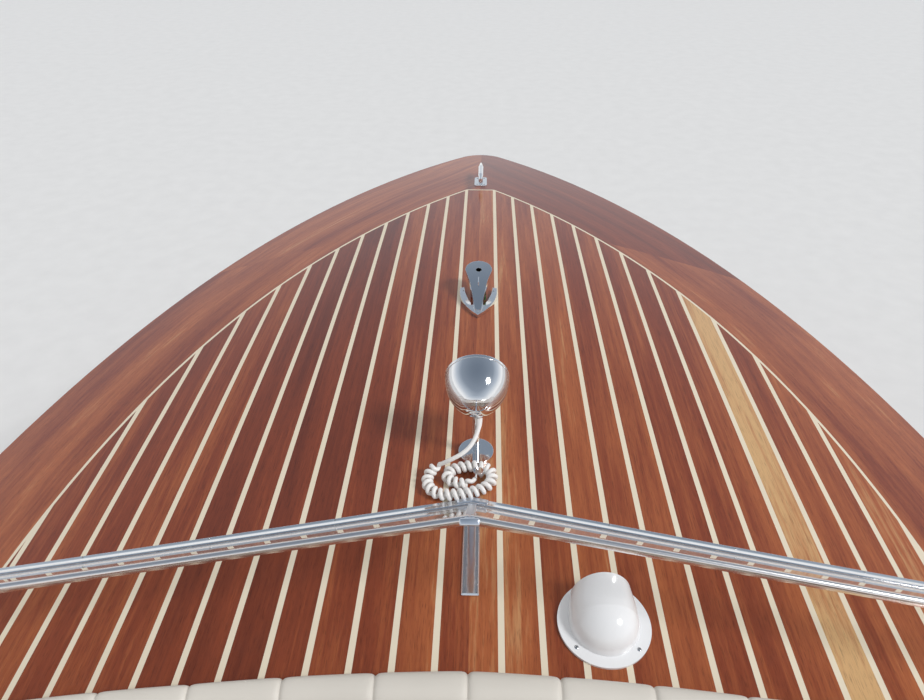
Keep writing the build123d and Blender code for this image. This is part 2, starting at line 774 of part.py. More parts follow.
# Sun pad on the engine hatch
with BuildPart() as sun_pad:
    add(deck_form(-PAD_HEIGHT))
    add(deck_form(-SOFT_GAP), mode=Mode.SUBTRACT)
    with BuildSketch():
        with Locations((0, (HATCH_FRONT_Y + HATCH_BACK_Y + PAD_FORWARD) / 2)):
            RectangleRounded(
                2 * (HATCH_HALF_WIDTH - PAD_INSET),
                HATCH_FRONT_Y - HATCH_BACK_Y - PAD_FORWARD - 2 * PAD_INSET,
                PAD_ROUNDING,
            )
    extrude(amount=CUT_HEIGHT, mode=Mode.INTERSECT)
keep(sun_pad, "sun_pad")

# Engine, one plain block
with BuildPart() as engine:
    with BuildSketch(Plane.XY.offset(BAY_FLOOR_Z)):
        with Locations((0, (BAY_FRONT_Y + BAY_BACK_Y) / 2)):
            Rectangle(ENGINE_WIDTH, ENGINE_LENGTH)
    extrude(amount=ENGINE_HEIGHT)
    chamfer(engine.edges().group_by(Axis.Z)[-1], ENGINE_CHAMFER)
keep(engine, "engine_block")

# Dashboard, fitted to the cockpit's front wall
dash_down = Vector(0, DASH_BOTTOM[0] - DASH_TOP[0], DASH_BOTTOM[1] - DASH_TOP[1]).normalized()
dash_face = Plane(
    origin=(0, (DASH_TOP[0] + DASH_BOTTOM[0]) / 2, (DASH_TOP[1] + DASH_BOTTOM[1]) / 2),
    x_dir=(1, 0, 0),
    z_dir=Vector(1, 0, 0).cross(-dash_down),
)
with BuildPart() as dashboard:
    with BuildSketch(Plane.YZ):
        with BuildLine():
            Polyline(
                DASH_TOP,
                DASH_BOTTOM,
                (COCKPIT_FRONT_Y, DASH_BOTTOM[1] - DASH_RADIUS),
                (COCKPIT_FRONT_Y, DASH_TOP[1]),
                close=True,
            )
        make_face()
    extrude(amount=DASH_HALF_WIDTH, both=True)
    extrude(cockpit_outline(0, -LINER_GAP), amount=CUT_HEIGHT, mode=Mode.INTERSECT)
    add(deck_form(ROLL_DROP + SOFT_GAP), mode=Mode.INTERSECT)
    with BuildSketch(Plane(origin=(WHEEL_X, *COLUMN_START), z_dir=wheel_axis)):
        Circle(COLUMN_RADIUS)
    extrude(amount=COLUMN_SEAT, both=True, mode=Mode.SUBTRACT)
keep(dashboard, "dashboard")

with BuildPart() as bezels:
    for across, down, radius in GAUGES:
        with BuildSketch(dash_face):
            with Locations((across, -down)):
                Circle(radius)
                Circle(radius - BEZEL_WIDTH, mode=Mode.SUBTRACT)
        extrude(amount=GAUGE_DEPTH)
keep(bezels, "gauge_bezels")

with BuildPart() as dials:
    for across, down, radius in GAUGES:
        with BuildSketch(dash_face):
            with Locations((across, -down)):
                Circle(radius - BEZEL_WIDTH)
        extrude(amount=GAUGE_DEPTH / 2)
keep(dials, "gauge_dials")

# Steering column and wheel
column_plane = Plane(origin=(WHEEL_X, *COLUMN_START), x_dir=(1, 0, 0), z_dir=wheel_axis)
with BuildPart() as column:
    with BuildSketch(column_plane.offset(-COLUMN_SEAT)):
        Circle(COLUMN_RADIUS)
        Circle(STEERING_SHAFT_RADIUS + RUNNING_GAP, mode=Mode.SUBTRACT)
    extrude(amount=COLUMN_LENGTH + COLUMN_SEAT)
keep(column, "steering_column")

wheel_plane = column_plane.offset(COLUMN_LENGTH + WHEEL_GAP)
with BuildPart() as wheel:
    with BuildSketch(wheel_plane):
        Circle(WHEEL_HUB_RADIUS)
    extrude(amount=WHEEL_HUB_LENGTH)
    with BuildSketch(wheel_plane):
        Circle(STEERING_SHAFT_RADIUS)
    extrude(amount=-COLUMN_LENGTH * STEERING_SHAFT_SHARE)
    for number in range(WHEEL_SPOKES):
        turn = 90 + number * 360 / WHEEL_SPOKES
        spoke = wheel_plane.location * Location((0, 0, WHEEL_HUB_LENGTH / 2), (0, 0, turn))
        with BuildSketch(Plane(spoke * Location((0, 0, 0), (0, 90, 0)))):
            RectangleRounded(SPOKE_THICKNESS, SPOKE_WIDTH, SPOKE_ROUNDING)
        extrude(amount=WHEEL_RADIUS)
    rim_centre = Plane(wheel_plane.location * Location((0, 0, WHEEL_HUB_LENGTH / 2)))
    with BuildSketch(Plane(rim_centre.location * Location((WHEEL_RADIUS, 0, 0), (90, 0, 0)))):
        Circle(WHEEL_RIM_RADIUS)
    revolve(axis=Axis(rim_centre.origin, rim_centre.z_dir))
keep(wheel, "steering_wheel")

# Throttle lever on its base beside the wheel
with BuildPart() as throttle:
    with BuildSketch(dash_face):
        with Locations((THROTTLE_X, 0)):
            RectangleRounded(THROTTLE_FOOT[0], THROTTLE_FOOT[1], THROTTLE_FOOT_ROUNDING)
    extrude(amount=THROTTLE_FOOT[2])
    with BuildSketch(dash_face.offset(THROTTLE_FOOT[2])):
        with Locations((THROTTLE_X, THROTTLE_UP)):
            Circle(THROTTLE_ROD_RADIUS)
    extrude(amount=THROTTLE_ROD_LENGTH)
    knob = dash_face.offset(THROTTLE_KNOB_RISE).location * Location((THROTTLE_X, THROTTLE_UP, 0))
    with Locations(knob):
        Sphere(THROTTLE_KNOB_RADIUS)
keep(throttle, "throttle")

# Windshield: two flat panes that meet in a V and rake aft
shield_origin = Vector(0, SHIELD_Y, deck_height(SHIELD_Y))
sweep_angle = radians(SHIELD_SWEEP)
rake_angle = radians(SHIELD_RAKE)
centre_shift = sin(rake_angle) * tan(sweep_angle)
along_pane = Vector(cos(sweep_angle), -sin(sweep_angle), 0)
up_pane = Vector(
    -sin(sweep_angle) * sin(rake_angle), -cos(sweep_angle) * sin(rake_angle), cos(rake_angle)
)
pane_plane = Plane(origin=shield_origin, x_dir=along_pane, z_dir=along_pane.cross(up_pane))


def shield_foot(reach):
    """How far up its own plane the pane meets the deck, at one place along it."""
    rise = 0.0
    for _ in range(8):
        place = shield_origin + along_pane * reach + up_pane * rise
        rise += (deck_z(place.X, place.Y) - place.Z) / cos(rake_angle)
    return rise


def pane_sketch(low, high, inner, outer):
    """Part of the pane's own plane, between two heights above the deck and two ends."""
    mid = (inner + outer) / 2
    top_outer = shield_foot(SHIELD_HALF_SPAN) + SHIELD_END_SLANT
    top_fall = (SHIELD_SLANT - top_outer) / SHIELD_HALF_SPAN
    with BuildSketch(pane_plane) as shape:
        with BuildLine():
            foot = ThreePointArc(
                (inner, shield_foot(inner) + low),
                (mid, shield_foot(mid) + low),
                (outer, shield_foot(outer) + low),
            )
            Polyline(
                foot @ 1,
                (outer, SHIELD_SLANT - top_fall * outer + high),
                (inner, SHIELD_SLANT - top_fall * inner + high),
                foot @ 0,
            )
        make_face()
    return shape.sketch


def mirrored(piece, name):
    """A windshield piece with its mirror image across the centreline."""
    with BuildPart() as pair:
        add(piece)
        mirror(about=Plane.YZ)
    keep(pair, name)


with BuildPart() as pane:
    extrude(
        pane_sketch(GLASS_LIFT, 0, -SHIELD_OVERLAP, SHIELD_HALF_SPAN),
        amount=GLASS_THICKNESS / 2,
        both=True,
    )
    with BuildSketch(Plane.YZ.offset(POST_GAP)):
        Rectangle(CUT_SIZE, CUT_SIZE)
    extrude(amount=-CUT_HEIGHT, mode=Mode.SUBTRACT)
keep(pane, "pane_starboard")
with BuildPart() as pane_port:
    mirror(pane.part, about=Plane.YZ)
keep(pane_port, "pane_port")

with BuildPart() as flange:
    extrude(pane_sketch(-90, 0, -SHIELD_OVERLAP, SHIELD_HALF_SPAN), amount=-FLANGE_REACH)
    add(deck_form(-FLANGE_THICKNESS), mode=Mode.INTERSECT)
    add(deck_top, mode=Mode.SUBTRACT)

with BuildPart() as below_head:
    extrude(
        pane_sketch(CHANNEL_HEIGHT, CUT_DEPTH, -2 * SHIELD_OVERLAP, SHIELD_HALF_SPAN + SHIELD_OVERLAP),
        amount=SHIELD_OVERLAP,
        both=True,
    )

with BuildPart() as channel:
    extrude(
        pane_sketch(-40, 0, -SHIELD_OVERLAP, SHIELD_HALF_SPAN), amount=CHANNEL_WIDTH / 2, both=True
    )
    add(below_head.part, mode=Mode.SUBTRACT)
    add(deck_top, mode=Mode.SUBTRACT)
    add(flange.part)
    with BuildSketch(Plane.YZ):
        Rectangle(CUT_SIZE, CUT_SIZE)
    extrude(amount=-CUT_HEIGHT, mode=Mode.SUBTRACT)
    add(pane.part, mode=Mode.SUBTRACT)
mirrored(channel.part, "windshield_base")

with BuildPart() as below_rail:
    extrude(
        pane_sketch(
            -CUT_DEPTH / 2, RAIL_OVER - RAIL_DEPTH, -2 * SHIELD_OVERLAP, SHIELD_HALF_SPAN + SHIELD_OVERLAP
        ),
        amount=SHIELD_OVERLAP,
        both=True,
    )

with BuildPart() as rail:
    extrude(
        pane_sketch(0, RAIL_OVER, -SHIELD_OVERLAP, SHIELD_HALF_SPAN), amount=RAIL_WIDTH / 2, both=True
    )
    add(below_rail.part, mode=Mode.SUBTRACT)
    with BuildSketch(Plane.YZ):
        Rectangle(CUT_SIZE, CUT_SIZE)
    extrude(amount=-CUT_HEIGHT, mode=Mode.SUBTRACT)
    add(pane.part, mode=Mode.SUBTRACT)
mirrored(rail.part, "windshield_rail")

with BuildPart() as end_post:
    extrude(
        pane_sketch(-40, RAIL_OVER, SHIELD_HALF_SPAN, SHIELD_HALF_SPAN + END_WIDTH),
        amount=CHANNEL_WIDTH / 2,
        both=True,
    )
    add(deck_top, mode=Mode.SUBTRACT)
mirrored(end_post.part, "windshield_end_posts")

# Cap over the corner of the two flanges
with BuildPart() as corner_cap:
    extrude(
        pane_sketch(-90, 0, -SHIELD_OVERLAP, CORNER_CAP_HALF_WIDTH), amount=-FLANGE_REACH - 1
    )
    add(deck_form(-CORNER_CAP_THICKNESS), mode=Mode.INTERSECT)
    add(deck_top, mode=Mode.SUBTRACT)
    with BuildSketch(Plane.YZ):
        Rectangle(CUT_SIZE, CUT_SIZE)
    extrude(amount=-CUT_HEIGHT, mode=Mode.SUBTRACT)
    mirror(about=Plane.YZ)

centre_line = (up_pane + along_pane * centre_shift).normalized()
centre_plane = Plane(origin=shield_origin, x_dir=(1, 0, 0), z_dir=centre_line)
with BuildPart() as centre_post:
    with BuildSketch(centre_plane.offset(-POST_DEPTH)):
        RectangleRounded(POST_WIDTH, POST_DEPTH, POST_ROUNDING)
    extrude(amount=SHIELD_SLANT + POST_DEPTH)
    with BuildSketch(centre_plane.offset(SHIELD_SLANT + TOP_CAP_OVER - TOP_CAP_HEIGHT)):
        RectangleRounded(TOP_CAP_WIDTH, POST_DEPTH, POST_ROUNDING)
    extrude(amount=TOP_CAP_HEIGHT)
    add(deck_top, mode=Mode.SUBTRACT)
    add(corner_cap.part)
    add(channel.part, mode=Mode.SUBTRACT)
    mirror(channel.part, about=Plane.YZ, mode=Mode.SUBTRACT)
    add(rail.part, mode=Mode.SUBTRACT)
    mirror(rail.part, about=Plane.YZ, mode=Mode.SUBTRACT)
    add(pane.part, mode=Mode.SUBTRACT)
    mirror(pane.part, about=Plane.YZ, mode=Mode.SUBTRACT)
keep(centre_post, "windshield_post")

with BuildPart() as strap:
    add(deck_form(-STRAP_THICKNESS))
    add(deck_top, mode=Mode.SUBTRACT)
    with BuildSketch():
        with Locations((0, (STRAP_BACK_Y + STRAP_FRONT_Y) / 2)):
            Rectangle(STRAP_WIDTH, STRAP_FRONT_Y - STRAP_BACK_Y)
    extrude(amount=CUT_HEIGHT, mode=Mode.INTERSECT)
    add(channel.part, mode=Mode.SUBTRACT)
    mirror(channel.part, about=Plane.YZ, mode=Mode.SUBTRACT)
    add(centre_post.part, mode=Mode.SUBTRACT)
keep(strap, "deck_strap")

# Stem band over the bow
with BuildPart() as stem_band:
    add(side_form(BAND_THICKNESS))
    add(deck_top, mode=Mode.INTERSECT)
    add(bottom, mode=Mode.INTERSECT)
    with BuildSketch(Plane.XZ.offset(-BOW_Y)):
        Rectangle(2 * BAND_HALF_WIDTH, CUT_SIZE)
    extrude(amount=CUT_HEIGHT, both=True, mode=Mode.INTERSECT)
    add(sides, mode=Mode.SUBTRACT)
    with BuildSketch(Plane.XZ):
        Rectangle(CUT_SIZE, CUT_SIZE)
    extrude(amount=CUT_SIZE, mode=Mode.SUBTRACT)
keep(stem_band, "stem_band")

# Searchlight: a deep bowl that looks forward, on its post
lamp_foot = deck_plane(SEARCHLIGHT_X, SEARCHLIGHT_Y)
lamp_centre = lamp_foot.offset(SEARCHLIGHT_RISE).origin + lamp_foot.y_dir * LAMP_AHEAD
lamp_level = Plane(origin=lamp_centre, x_dir=lamp_foot.x_dir, z_dir=lamp_foot.z_dir)
lamp_plane = lamp_level.rotated((LAMP_TILT, 0, 0))
lamp_front = Plane(origin=lamp_centre, x_dir=lamp_plane.x_dir, z_dir=lamp_plane.y_dir)


def lamp_body(shrink):
    """The searchlight's bowl, filled, once its skin is moved in by shrink."""
    centre = LAMP_NOSE_RADIUS - LAMP_DEPTH
    join = 2 * atan((LAMP_RADIUS - LAMP_NOSE_RADIUS) / -centre)
    side = LAMP_RADIUS - shrink
    front = LAMP_RIM + shrink
    with BuildPart() as body:
        with BuildSketch(lamp_plane):
            with BuildLine():
                nose = CenterArc((0, centre), LAMP_NOSE_RADIUS - shrink, -90, 90 - degrees(join))
                Spline(nose @ 1, (side, 0), tangents=[nose % 1, (0, 1)])
                Polyline((side, 0), (side, front), (0, front), nose @ 0)
            make_face()
        revolve(axis=Axis(lamp_centre, lamp_plane.y_dir))
    return body.part


lamp_skin = lamp_body(0.0)
with BuildPart() as lamp_head:
    add(lamp_skin)
    with BuildSketch(lamp_front):
        Circle(LAMP_RADIUS + LAMP_RIM_PROUD)
    extrude(amount=LAMP_RIM)
    add(lamp_body(LAMP_WALL), mode=Mode.SUBTRACT)
keep(lamp_head, "searchlight_head")

with BuildPart() as lamp_lens:
    with BuildSketch(lamp_front):
        Circle(LAMP_RADIUS - LAMP_WALL - RUNNING_GAP)
    extrude(amount=LAMP_LENS_THICKNESS)
keep(lamp_lens, "searchlight_lens")

with BuildPart() as lamp_base:
    with BuildSketch(lamp_foot):
        Circle(LAMP_FOOT_RADIUS)
    extrude(amount=LAMP_FOOT_HEIGHT)
    with BuildSketch(lamp_foot):
        Circle(LAMP_POST_RADIUS)
    extrude(amount=SEARCHLIGHT_RISE)
    add(lamp_skin, mode=Mode.SUBTRACT)
keep(lamp_base, "searchlight_base")


def deck_point(place):
    """A point given by its place on the deck and its height above it."""
    x, y, rise = place
    return Vector(x, y, deck_z(x, y) + rise)


def tube(points, radius, name):
    """A cord's plain tube: straight runs joined by arcs as large as the runs allow."""
    radii = []
    for before, corner, after in zip(points, points[1:], points[2:]):
        turn = radians((corner - before).get_angle(after - corner))
        shorter = min((corner - before).length, (after - corner).length)
        radii.append(0.45 * shorter / tan(turn / 2))
    print(name, "radii", [round(radius_of_arc) for radius_of_arc in radii])
    with BuildPart() as cord:
        with BuildLine() as path:
            FilletPolyline(*points, radius=radii)
        with BuildSketch(Plane(origin=path.line @ 0, z_dir=path.line % 0)):
            Circle(radius)
        sweep(path=path.line)
    length = sum(edge.length for edge in path.line.edges())
    filled = cord.part.volume / (pi * radius**2 * length)
    print(name, "length", round(length), "volume over section times length", round(filled, 4))
    keep(cord, name)


# Searchlight cord: a smooth lead that runs into a curly length lying on the deck
# across, forward, height above the deck
LEAD_POINTS = [
    (10.0, 1271.0, 105.6),
    (10.9, 1265.5, 98.7),
    (10.2, 1260.3, 92.9),
    (6.4, 1249.9, 83.2),
    (-0.2, 1238.0, 74.3),
    (-10.2, 1227.2, 66.4),
    (-24.8, 1219.2, 58.7),
    (-43.9, 1216.0, 49.0),
    (-57.5, 1218.6, 37.5),
]
CURLY_POINTS = [
    (-57.5, 1218.6, 37.5),
    (-77.0, 1222.4, 21.0),
    (-89.0, 1203.0, 12.0),
    (-83.0, 1179.0, 12.0),
    (-67.0, 1166.0, 12.0),
    (-46.0, 1163.0, 12.0),
    (-24.0, 1165.0, 12.0),
    (-2.0, 1170.5, 12.0),
    (20.0, 1179.0, 12.0),
    (35.0, 1195.0, 12.0),
    (38.0, 1215.0, 12.0),
    (30.0, 1231.0, 12.0),
    (9.0, 1237.5, 12.0),
    (-14.0, 1237.0, 12.0),
    (-33.0, 1230.5, 12.0),
    (-48.0, 1221.0, 12.0),
    (-50.0, 1205.5, 12.0),
    (-37.0, 1194.5, 12.0),
    (-18.0, 1190.0, 12.0),
    (-4.0, 1194.0, 12.0),
    (4.0, 1204.0, 12.0),
]
tube([deck_point(place) for place in LEAD_POINTS], LEAD_RADIUS, "searchlight_lead")
tube([deck_point(place) for place in CURLY_POINTS], CURLY_RADIUS, "curly_cord")

# Gland where the cord goes through the deck
gland_foot = deck_plane(GLAND_X, GLAND_Y)
with BuildPart() as gland:
    with BuildSketch(gland_foot):
        Circle(GLAND_RADIUS)
    extrude(amount=GLAND_HEIGHT)
keep(gland, "cord_gland")

# Cowl vent: a round flange and a domed hood that opens forward in a raised mouth
cowl_foot = deck_plane(COWL_X, COWL_Y)


def cowl_section(ahead, half_width, height):
    """Half an ellipse that stands on the deck, across the cowl."""
    stand = Plane(
        origin=cowl_foot.origin + cowl_foot.y_dir * ahead, x_dir=cowl_foot.x_dir, z_dir=-cowl_foot.y_dir
    )
    with BuildSketch(stand) as section:
        with BuildLine():
            arch = EllipticalCenterArc((0, 0), half_width, height, 0, arc_size=180)
            Line(arch @ 1, arch @ 0)
        make_face()
    return section.sketch


def cowl_form(shrink):
    """The cowl's dome and throat, filled, once their skin is moved in by shrink."""
    with BuildPart() as form:
        with BuildSketch(
            Plane(origin=cowl_foot.origin, x_dir=cowl_foot.x_dir, z_dir=-cowl_foot.y_dir)
        ):
            with BuildLine():
                dome = CenterArc((0, 0), COWL_HOOD_RADIUS - shrink, 0, 90)
                Polyline(dome @ 1, (0, 0), dome @ 0)
            make_face()
        revolve(axis=Axis(cowl_foot.origin, cowl_foot.z_dir))
        with BuildSketch(
            Plane(origin=cowl_foot.origin, x_dir=cowl_foot.x_dir, z_dir=cowl_foot.y_dir)
        ):
            Rectangle(CUT_DEPTH, CUT_DEPTH)
        extrude(amount=CUT_DEPTH, mode=Mode.SUBTRACT)
    with BuildPart() as throat:
        for ahead, half_width, height in COWL_THROAT:
            add(cowl_section(ahead, half_width - shrink, height - shrink))
        loft()
    return form.part, throat.part


with BuildPart() as cowl:
    add(cowl_form(0.0))
    add(cowl_form(COWL_WALL), mode=Mode.SUBTRACT)
    with BuildSketch(cowl_foot):
        Circle(COWL_RADIUS)
    extrude(amount=COWL_WALL)
keep(cowl, "cowl_vent")

# Bow light: a V foot on the deck and a hood that widens and rises forward, over two lenses
light_plane = deck_plane(LIGHT_X, LIGHT_Y)
light_side = Plane(origin=light_plane.origin, x_dir=light_plane.y_dir, z_dir=light_plane.x_dir)
with BuildPart() as light_hood:
    with BuildSketch(light_plane):
        with BuildLine():
            edge = Polyline((0, -74), (8, -72), (16, -29), (24, 11), (HOOD_HALF_WIDTH, 50))
            ThreePointArc(edge @ 1, (0.71 * HOOD_HALF_WIDTH, 78), (0, HOOD_REACH))
            mirror(about=Plane.YZ)
        make_face()
    extrude(amount=LIGHT_RISE + 20)
    with BuildSketch(light_side):
        with BuildLine():
            top_line = ThreePointArc((-80, 12), (5, LIGHT_RISE - 20), (HOOD_REACH + 5, LIGHT_RISE))
            under = ThreePointArc((HOOD_REACH + 5, LIGHT_RISE - 11), (5, LIGHT_RISE - 35), (-52, -2))
            Polyline(under @ 1, (-80, -2), top_line @ 0)
            Line(top_line @ 1, under @ 0)
        make_face()
    extrude(amount=80, both=True, mode=Mode.INTERSECT)

with BuildPart() as light_body:
    add(light_hood.part)
    with BuildSketch(light_plane):
        with BuildLine():
            outer = ThreePointArc((0, -89), (33, -42), (50, 50))
            inner = ThreePointArc((39, 52), (22, -24), (0, -64))
            Line(outer @ 1, inner @ 0)
            mirror(about=Plane.YZ)
        make_face()
    extrude(amount=LIGHT_FOOT_HEIGHT)
    with BuildSketch(light_plane):
        with Locations((0, SOCKET_SHIFT)):
            Circle(SOCKET_RADIUS + 3)
        with Locations((0, LENS_SHIFT)):
            Rectangle(2, 2 * LENS_RADIUS)
    extrude(amount=LIGHT_RISE - 14)
    with BuildSketch(light_plane.offset(LIGHT_RISE + 20)):
        with Locations((0, SOCKET_SHIFT)):
            Circle(SOCKET_RADIUS)
    extrude(amount=-LIGHT_RISE - 20 + SOCKET_FLOOR, mode=Mode.SUBTRACT)
keep(light_body, "bow_light")

with BuildPart() as light_lenses:
    with BuildSketch(light_plane):
        with Locations((0, LENS_SHIFT)):
            Circle(LENS_RADIUS)
    extrude(amount=LIGHT_RISE)
    with BuildSketch(light_side):
        with BuildLine():
            cover = ThreePointArc((HOOD_REACH + 5, LIGHT_RISE - 11), (5, LIGHT_RISE - 35), (-52, -2))
            Polyline(cover @ 1, (-52, 200), (HOOD_REACH + 5, 200), cover @ 0)
        make_face()
    extrude(amount=80, both=True, mode=Mode.SUBTRACT)
    add(light_body.part, mode=Mode.SUBTRACT)
keep(light_lenses, "bow_light_lenses")


def cleat(length, name, places):
    """Mooring cleats: a foot, two legs and a bar with tapered horns."""
    with BuildPart() as piece:
        for place in places:
            spot = deck_plane(*place)
            with BuildSketch(spot):
                RectangleRounded(CLEAT_FOOT_WIDTH, length * 0.5, 10)
            extrude(amount=5)
            with BuildSketch(spot.offset(5)):
                with Locations((0, -length * 0.14), (0, length * 0.14)):
                    Circle(8)
            extrude(amount=CLEAT_RISE - 5)
            bar = Plane(origin=spot.origin + spot.z_dir * CLEAT_RISE, x_dir=spot.y_dir, z_dir=spot.x_dir)
            with BuildSketch(bar):
                with BuildLine():
                    Polyline(
                        (-length / 2, 0),
                        (-length / 2, 5),
                        (-length / 4, 10),
                        (length / 4, 10),
                        (length / 2, 5),
                        (length / 2, 0),
                        close=True,
                    )
                make_face()
            revolve(axis=Axis(bar.origin, bar.x_dir))
    keep(piece, name)


cleat(CLEAT_LENGTH, "bow_cleat", [(0, CLEAT_Y)])
cleat(STERN_CLEAT_LENGTH, "stern_cleats", [(-STERN_CLEAT_X, STERN_CLEAT_Y), (STERN_CLEAT_X, STERN_CLEAT_Y)])

# Propeller and shaft. A blade's sections: distance from the axis, chord, thickness
BLADE_SECTIONS = [
    (16.0, 52.0, 13.0),
    (60.0, 104.0, 10.0),
    (105.0, 118.0, 7.0),
    (138.0, 70.0, 4.0),
]
def blade_at(turn):
    """One blade, as a loft through its sections."""
    with BuildPart() as piece:
        for reach, chord, thickness in BLADE_SECTIONS:
            pitch_angle = degrees(atan(PITCH / (2 * pi * max(reach, HUB_RADIUS))))
            section = Plane(
                shaft_plane.location
                * Location((0, 0, 0), (0, 0, turn))
                * Location((reach, 0, 0), (0, 90, 0))
                * Location((0, 0, 0), (0, 0, pitch_angle))
            )
            with BuildSketch(section):
                with BuildLine():
                    face = ThreePointArc((0, -chord / 2), (thickness * 0.2, 0), (0, chord / 2))
                    ThreePointArc(face @ 1, (-thickness * 0.8, 0), face @ 0)
                make_face()
        loft()
    return piece.part


blades = [blade_at(number * 360 / BLADES) for number in range(BLADES)]
with BuildPart() as propeller:
    with BuildSketch(shaft_plane.offset(-HUB_LENGTH / 2)):
        Circle(HUB_RADIUS)
    extrude(amount=HUB_LENGTH)
    add(blades)
    with BuildSketch(shaft_plane.offset(HUB_LENGTH / 2)):
        Circle(HUB_RADIUS - 6)
    extrude(amount=26, taper=25)
keep(propeller, "propeller")

with BuildPart() as shaft:
    with BuildSketch(shaft_plane.offset(-HUB_LENGTH / 2)):
        Circle(SHAFT_RADIUS)
    extrude(amount=-SHAFT_LENGTH + HUB_LENGTH)
keep(shaft, "propeller_shaft")

# Strut that carries the shaft forward of the propeller
strut_plane = shaft_plane.offset(-STRUT_AHEAD)
with BuildPart() as strut:
    with BuildSketch(strut_plane):
        Circle(STRUT_BARREL_RADIUS)
    extrude(amount=STRUT_LENGTH / 2, both=True)
    with BuildSketch(Plane.XY.offset(strut_plane.origin.Z)):
        with Locations((0, strut_plane.origin.Y)):
            Ellipse(STRUT_ARM_WIDTH / 2, STRUT_LENGTH / 2 - 6)
    extrude(amount=400)
    add(bottom, mode=Mode.SUBTRACT)
    with BuildSketch(strut_plane):
        Circle(SHAFT_RADIUS + RUNNING_GAP)
    extrude(amount=STRUT_LENGTH, both=True, mode=Mode.SUBTRACT)
keep(strut, "shaft_strut")

# Rudder on its stock
with BuildPart() as rudder:
    with BuildSketch(Plane.XY.offset(RUDDER_TOP_Z)):
        with BuildLine():
            blade_line = ThreePointArc(
                (0, RUDDER_Y + RUDDER_LEAD),
                (RUDDER_THICKNESS / 2, RUDDER_Y + 10),
                (1.5, RUDDER_Y - RUDDER_TRAIL),
            )
            mirror(blade_line, about=Plane.YZ)
            Line((1.5, RUDDER_Y - RUDDER_TRAIL), (-1.5, RUDDER_Y - RUDDER_TRAIL))
        make_face()
    extrude(amount=-RUDDER_HEIGHT)
    with BuildSketch(Plane.YZ):
        with BuildLine():
            corner = RUDDER_TOP_Z - RUDDER_HEIGHT
            Polyline(
                (RUDDER_Y + RUDDER_LEAD, RUDDER_TOP_Z),
                (RUDDER_Y + RUDDER_LEAD - 30, corner),
                (RUDDER_Y - RUDDER_TRAIL + 45, corner),
                (RUDDER_Y - RUDDER_TRAIL, RUDDER_TOP_Z - 60),
                (RUDDER_Y - RUDDER_TRAIL, RUDDER_TOP_Z),
                close=True,
            )
        make_face()
    extrude(amount=100, both=True, mode=Mode.INTERSECT)
    with BuildSketch(Plane.XY.offset(RUDDER_TOP_Z - 40)):
        with Locations((0, RUDDER_Y)):
            Circle(STOCK_RADIUS)
    extrude(amount=STOCK_LENGTH + 40)
keep(rudder, "rudder")

# Bearing of the rudder stock in the hull
with BuildPart() as rudder_bearing:
    with BuildSketch(Plane.XY.offset(BEARING_FOOT_Z)):
        with Locations((0, RUDDER_Y)):
            Circle(STOCK_RADIUS + SHAFT_GAP)
            Circle(STOCK_RADIUS + RUNNING_GAP, mode=Mode.SUBTRACT)
    extrude(amount=BEARING_LENGTH)
keep(rudder_bearing, "rudder_bearing")
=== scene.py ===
"""Looks of an open planked runabout, afloat.

Metres: +X starboard, +Y forward, +Z up, the waterline at z = 0.
"""

import math

import bmesh
import bpy
from mathutils import Matrix, Vector


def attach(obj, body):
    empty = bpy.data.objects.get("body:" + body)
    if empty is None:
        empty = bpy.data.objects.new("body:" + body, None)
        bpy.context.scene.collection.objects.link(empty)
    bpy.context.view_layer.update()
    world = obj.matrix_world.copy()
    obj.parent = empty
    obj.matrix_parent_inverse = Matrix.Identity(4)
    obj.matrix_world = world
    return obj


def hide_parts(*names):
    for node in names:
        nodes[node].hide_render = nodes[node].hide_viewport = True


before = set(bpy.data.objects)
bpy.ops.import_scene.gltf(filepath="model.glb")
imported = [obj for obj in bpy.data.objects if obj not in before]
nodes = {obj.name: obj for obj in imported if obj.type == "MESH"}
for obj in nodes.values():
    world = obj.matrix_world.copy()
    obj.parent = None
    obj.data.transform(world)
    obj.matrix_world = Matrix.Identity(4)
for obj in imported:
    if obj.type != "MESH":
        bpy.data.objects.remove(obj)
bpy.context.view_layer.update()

# ---------------------------------------------------------------- the deck's surface
CREST_Y = 1.863
CREST_Z = 0.9
PROFILE_RADIUS = 19.4
KNUCKLE_Y = 0.83
CAMBER_RADIUS = 5.7
PLANK_PITCH = 0.065
KING_PITCH = 0.1016


def deck_height(y):
    """Height of the deck on the centreline."""
    if y >= KNUCKLE_Y:
        return CREST_Z - PROFILE_RADIUS + math.sqrt(PROFILE_RADIUS**2 - (y - CREST_Y) ** 2)
    reach = CREST_Y - KNUCKLE_Y
    slope = reach / math.sqrt(PROFILE_RADIUS**2 - reach**2)
    return deck_height(KNUCKLE_Y) - slope * (KNUCKLE_Y - y)


def deck_z(x, y):
    """Height of the deck at any place."""
    return deck_height(y) - CAMBER_RADIUS + math.sqrt(CAMBER_RADIUS**2 - x**2)


def deck_frame(x, y):
    """A matrix whose origin is on the deck there, with z off the deck and y forward along it."""
    step = 0.01
    across = Vector((2 * step, 0, deck_z(x + step, y) - deck_z(x - step, y))).normalized()
    along = Vector((0, 2 * step, deck_z(x, y + step) - deck_z(x, y - step)))
    normal = across.cross(along).normalized()
    forward = normal.cross(across)
    turn = Matrix((across, forward, normal)).transposed().to_4x4()
    return Matrix.Translation((x, y, deck_z(x, y))) @ turn


# ---------------------------------------------------------------- objects
def in_scene(name, data):
    """A new object that shows that data."""
    made = bpy.data.objects.new(name, data)
    bpy.context.scene.collection.objects.link(made)
    return made


def from_bmesh(name, data):
    """A new object with those faces."""
    bmesh.ops.recalc_face_normals(data, faces=data.faces)
    mesh = bpy.data.meshes.new(name)
    data.to_mesh(mesh)
    data.free()
    return in_scene(name, mesh)


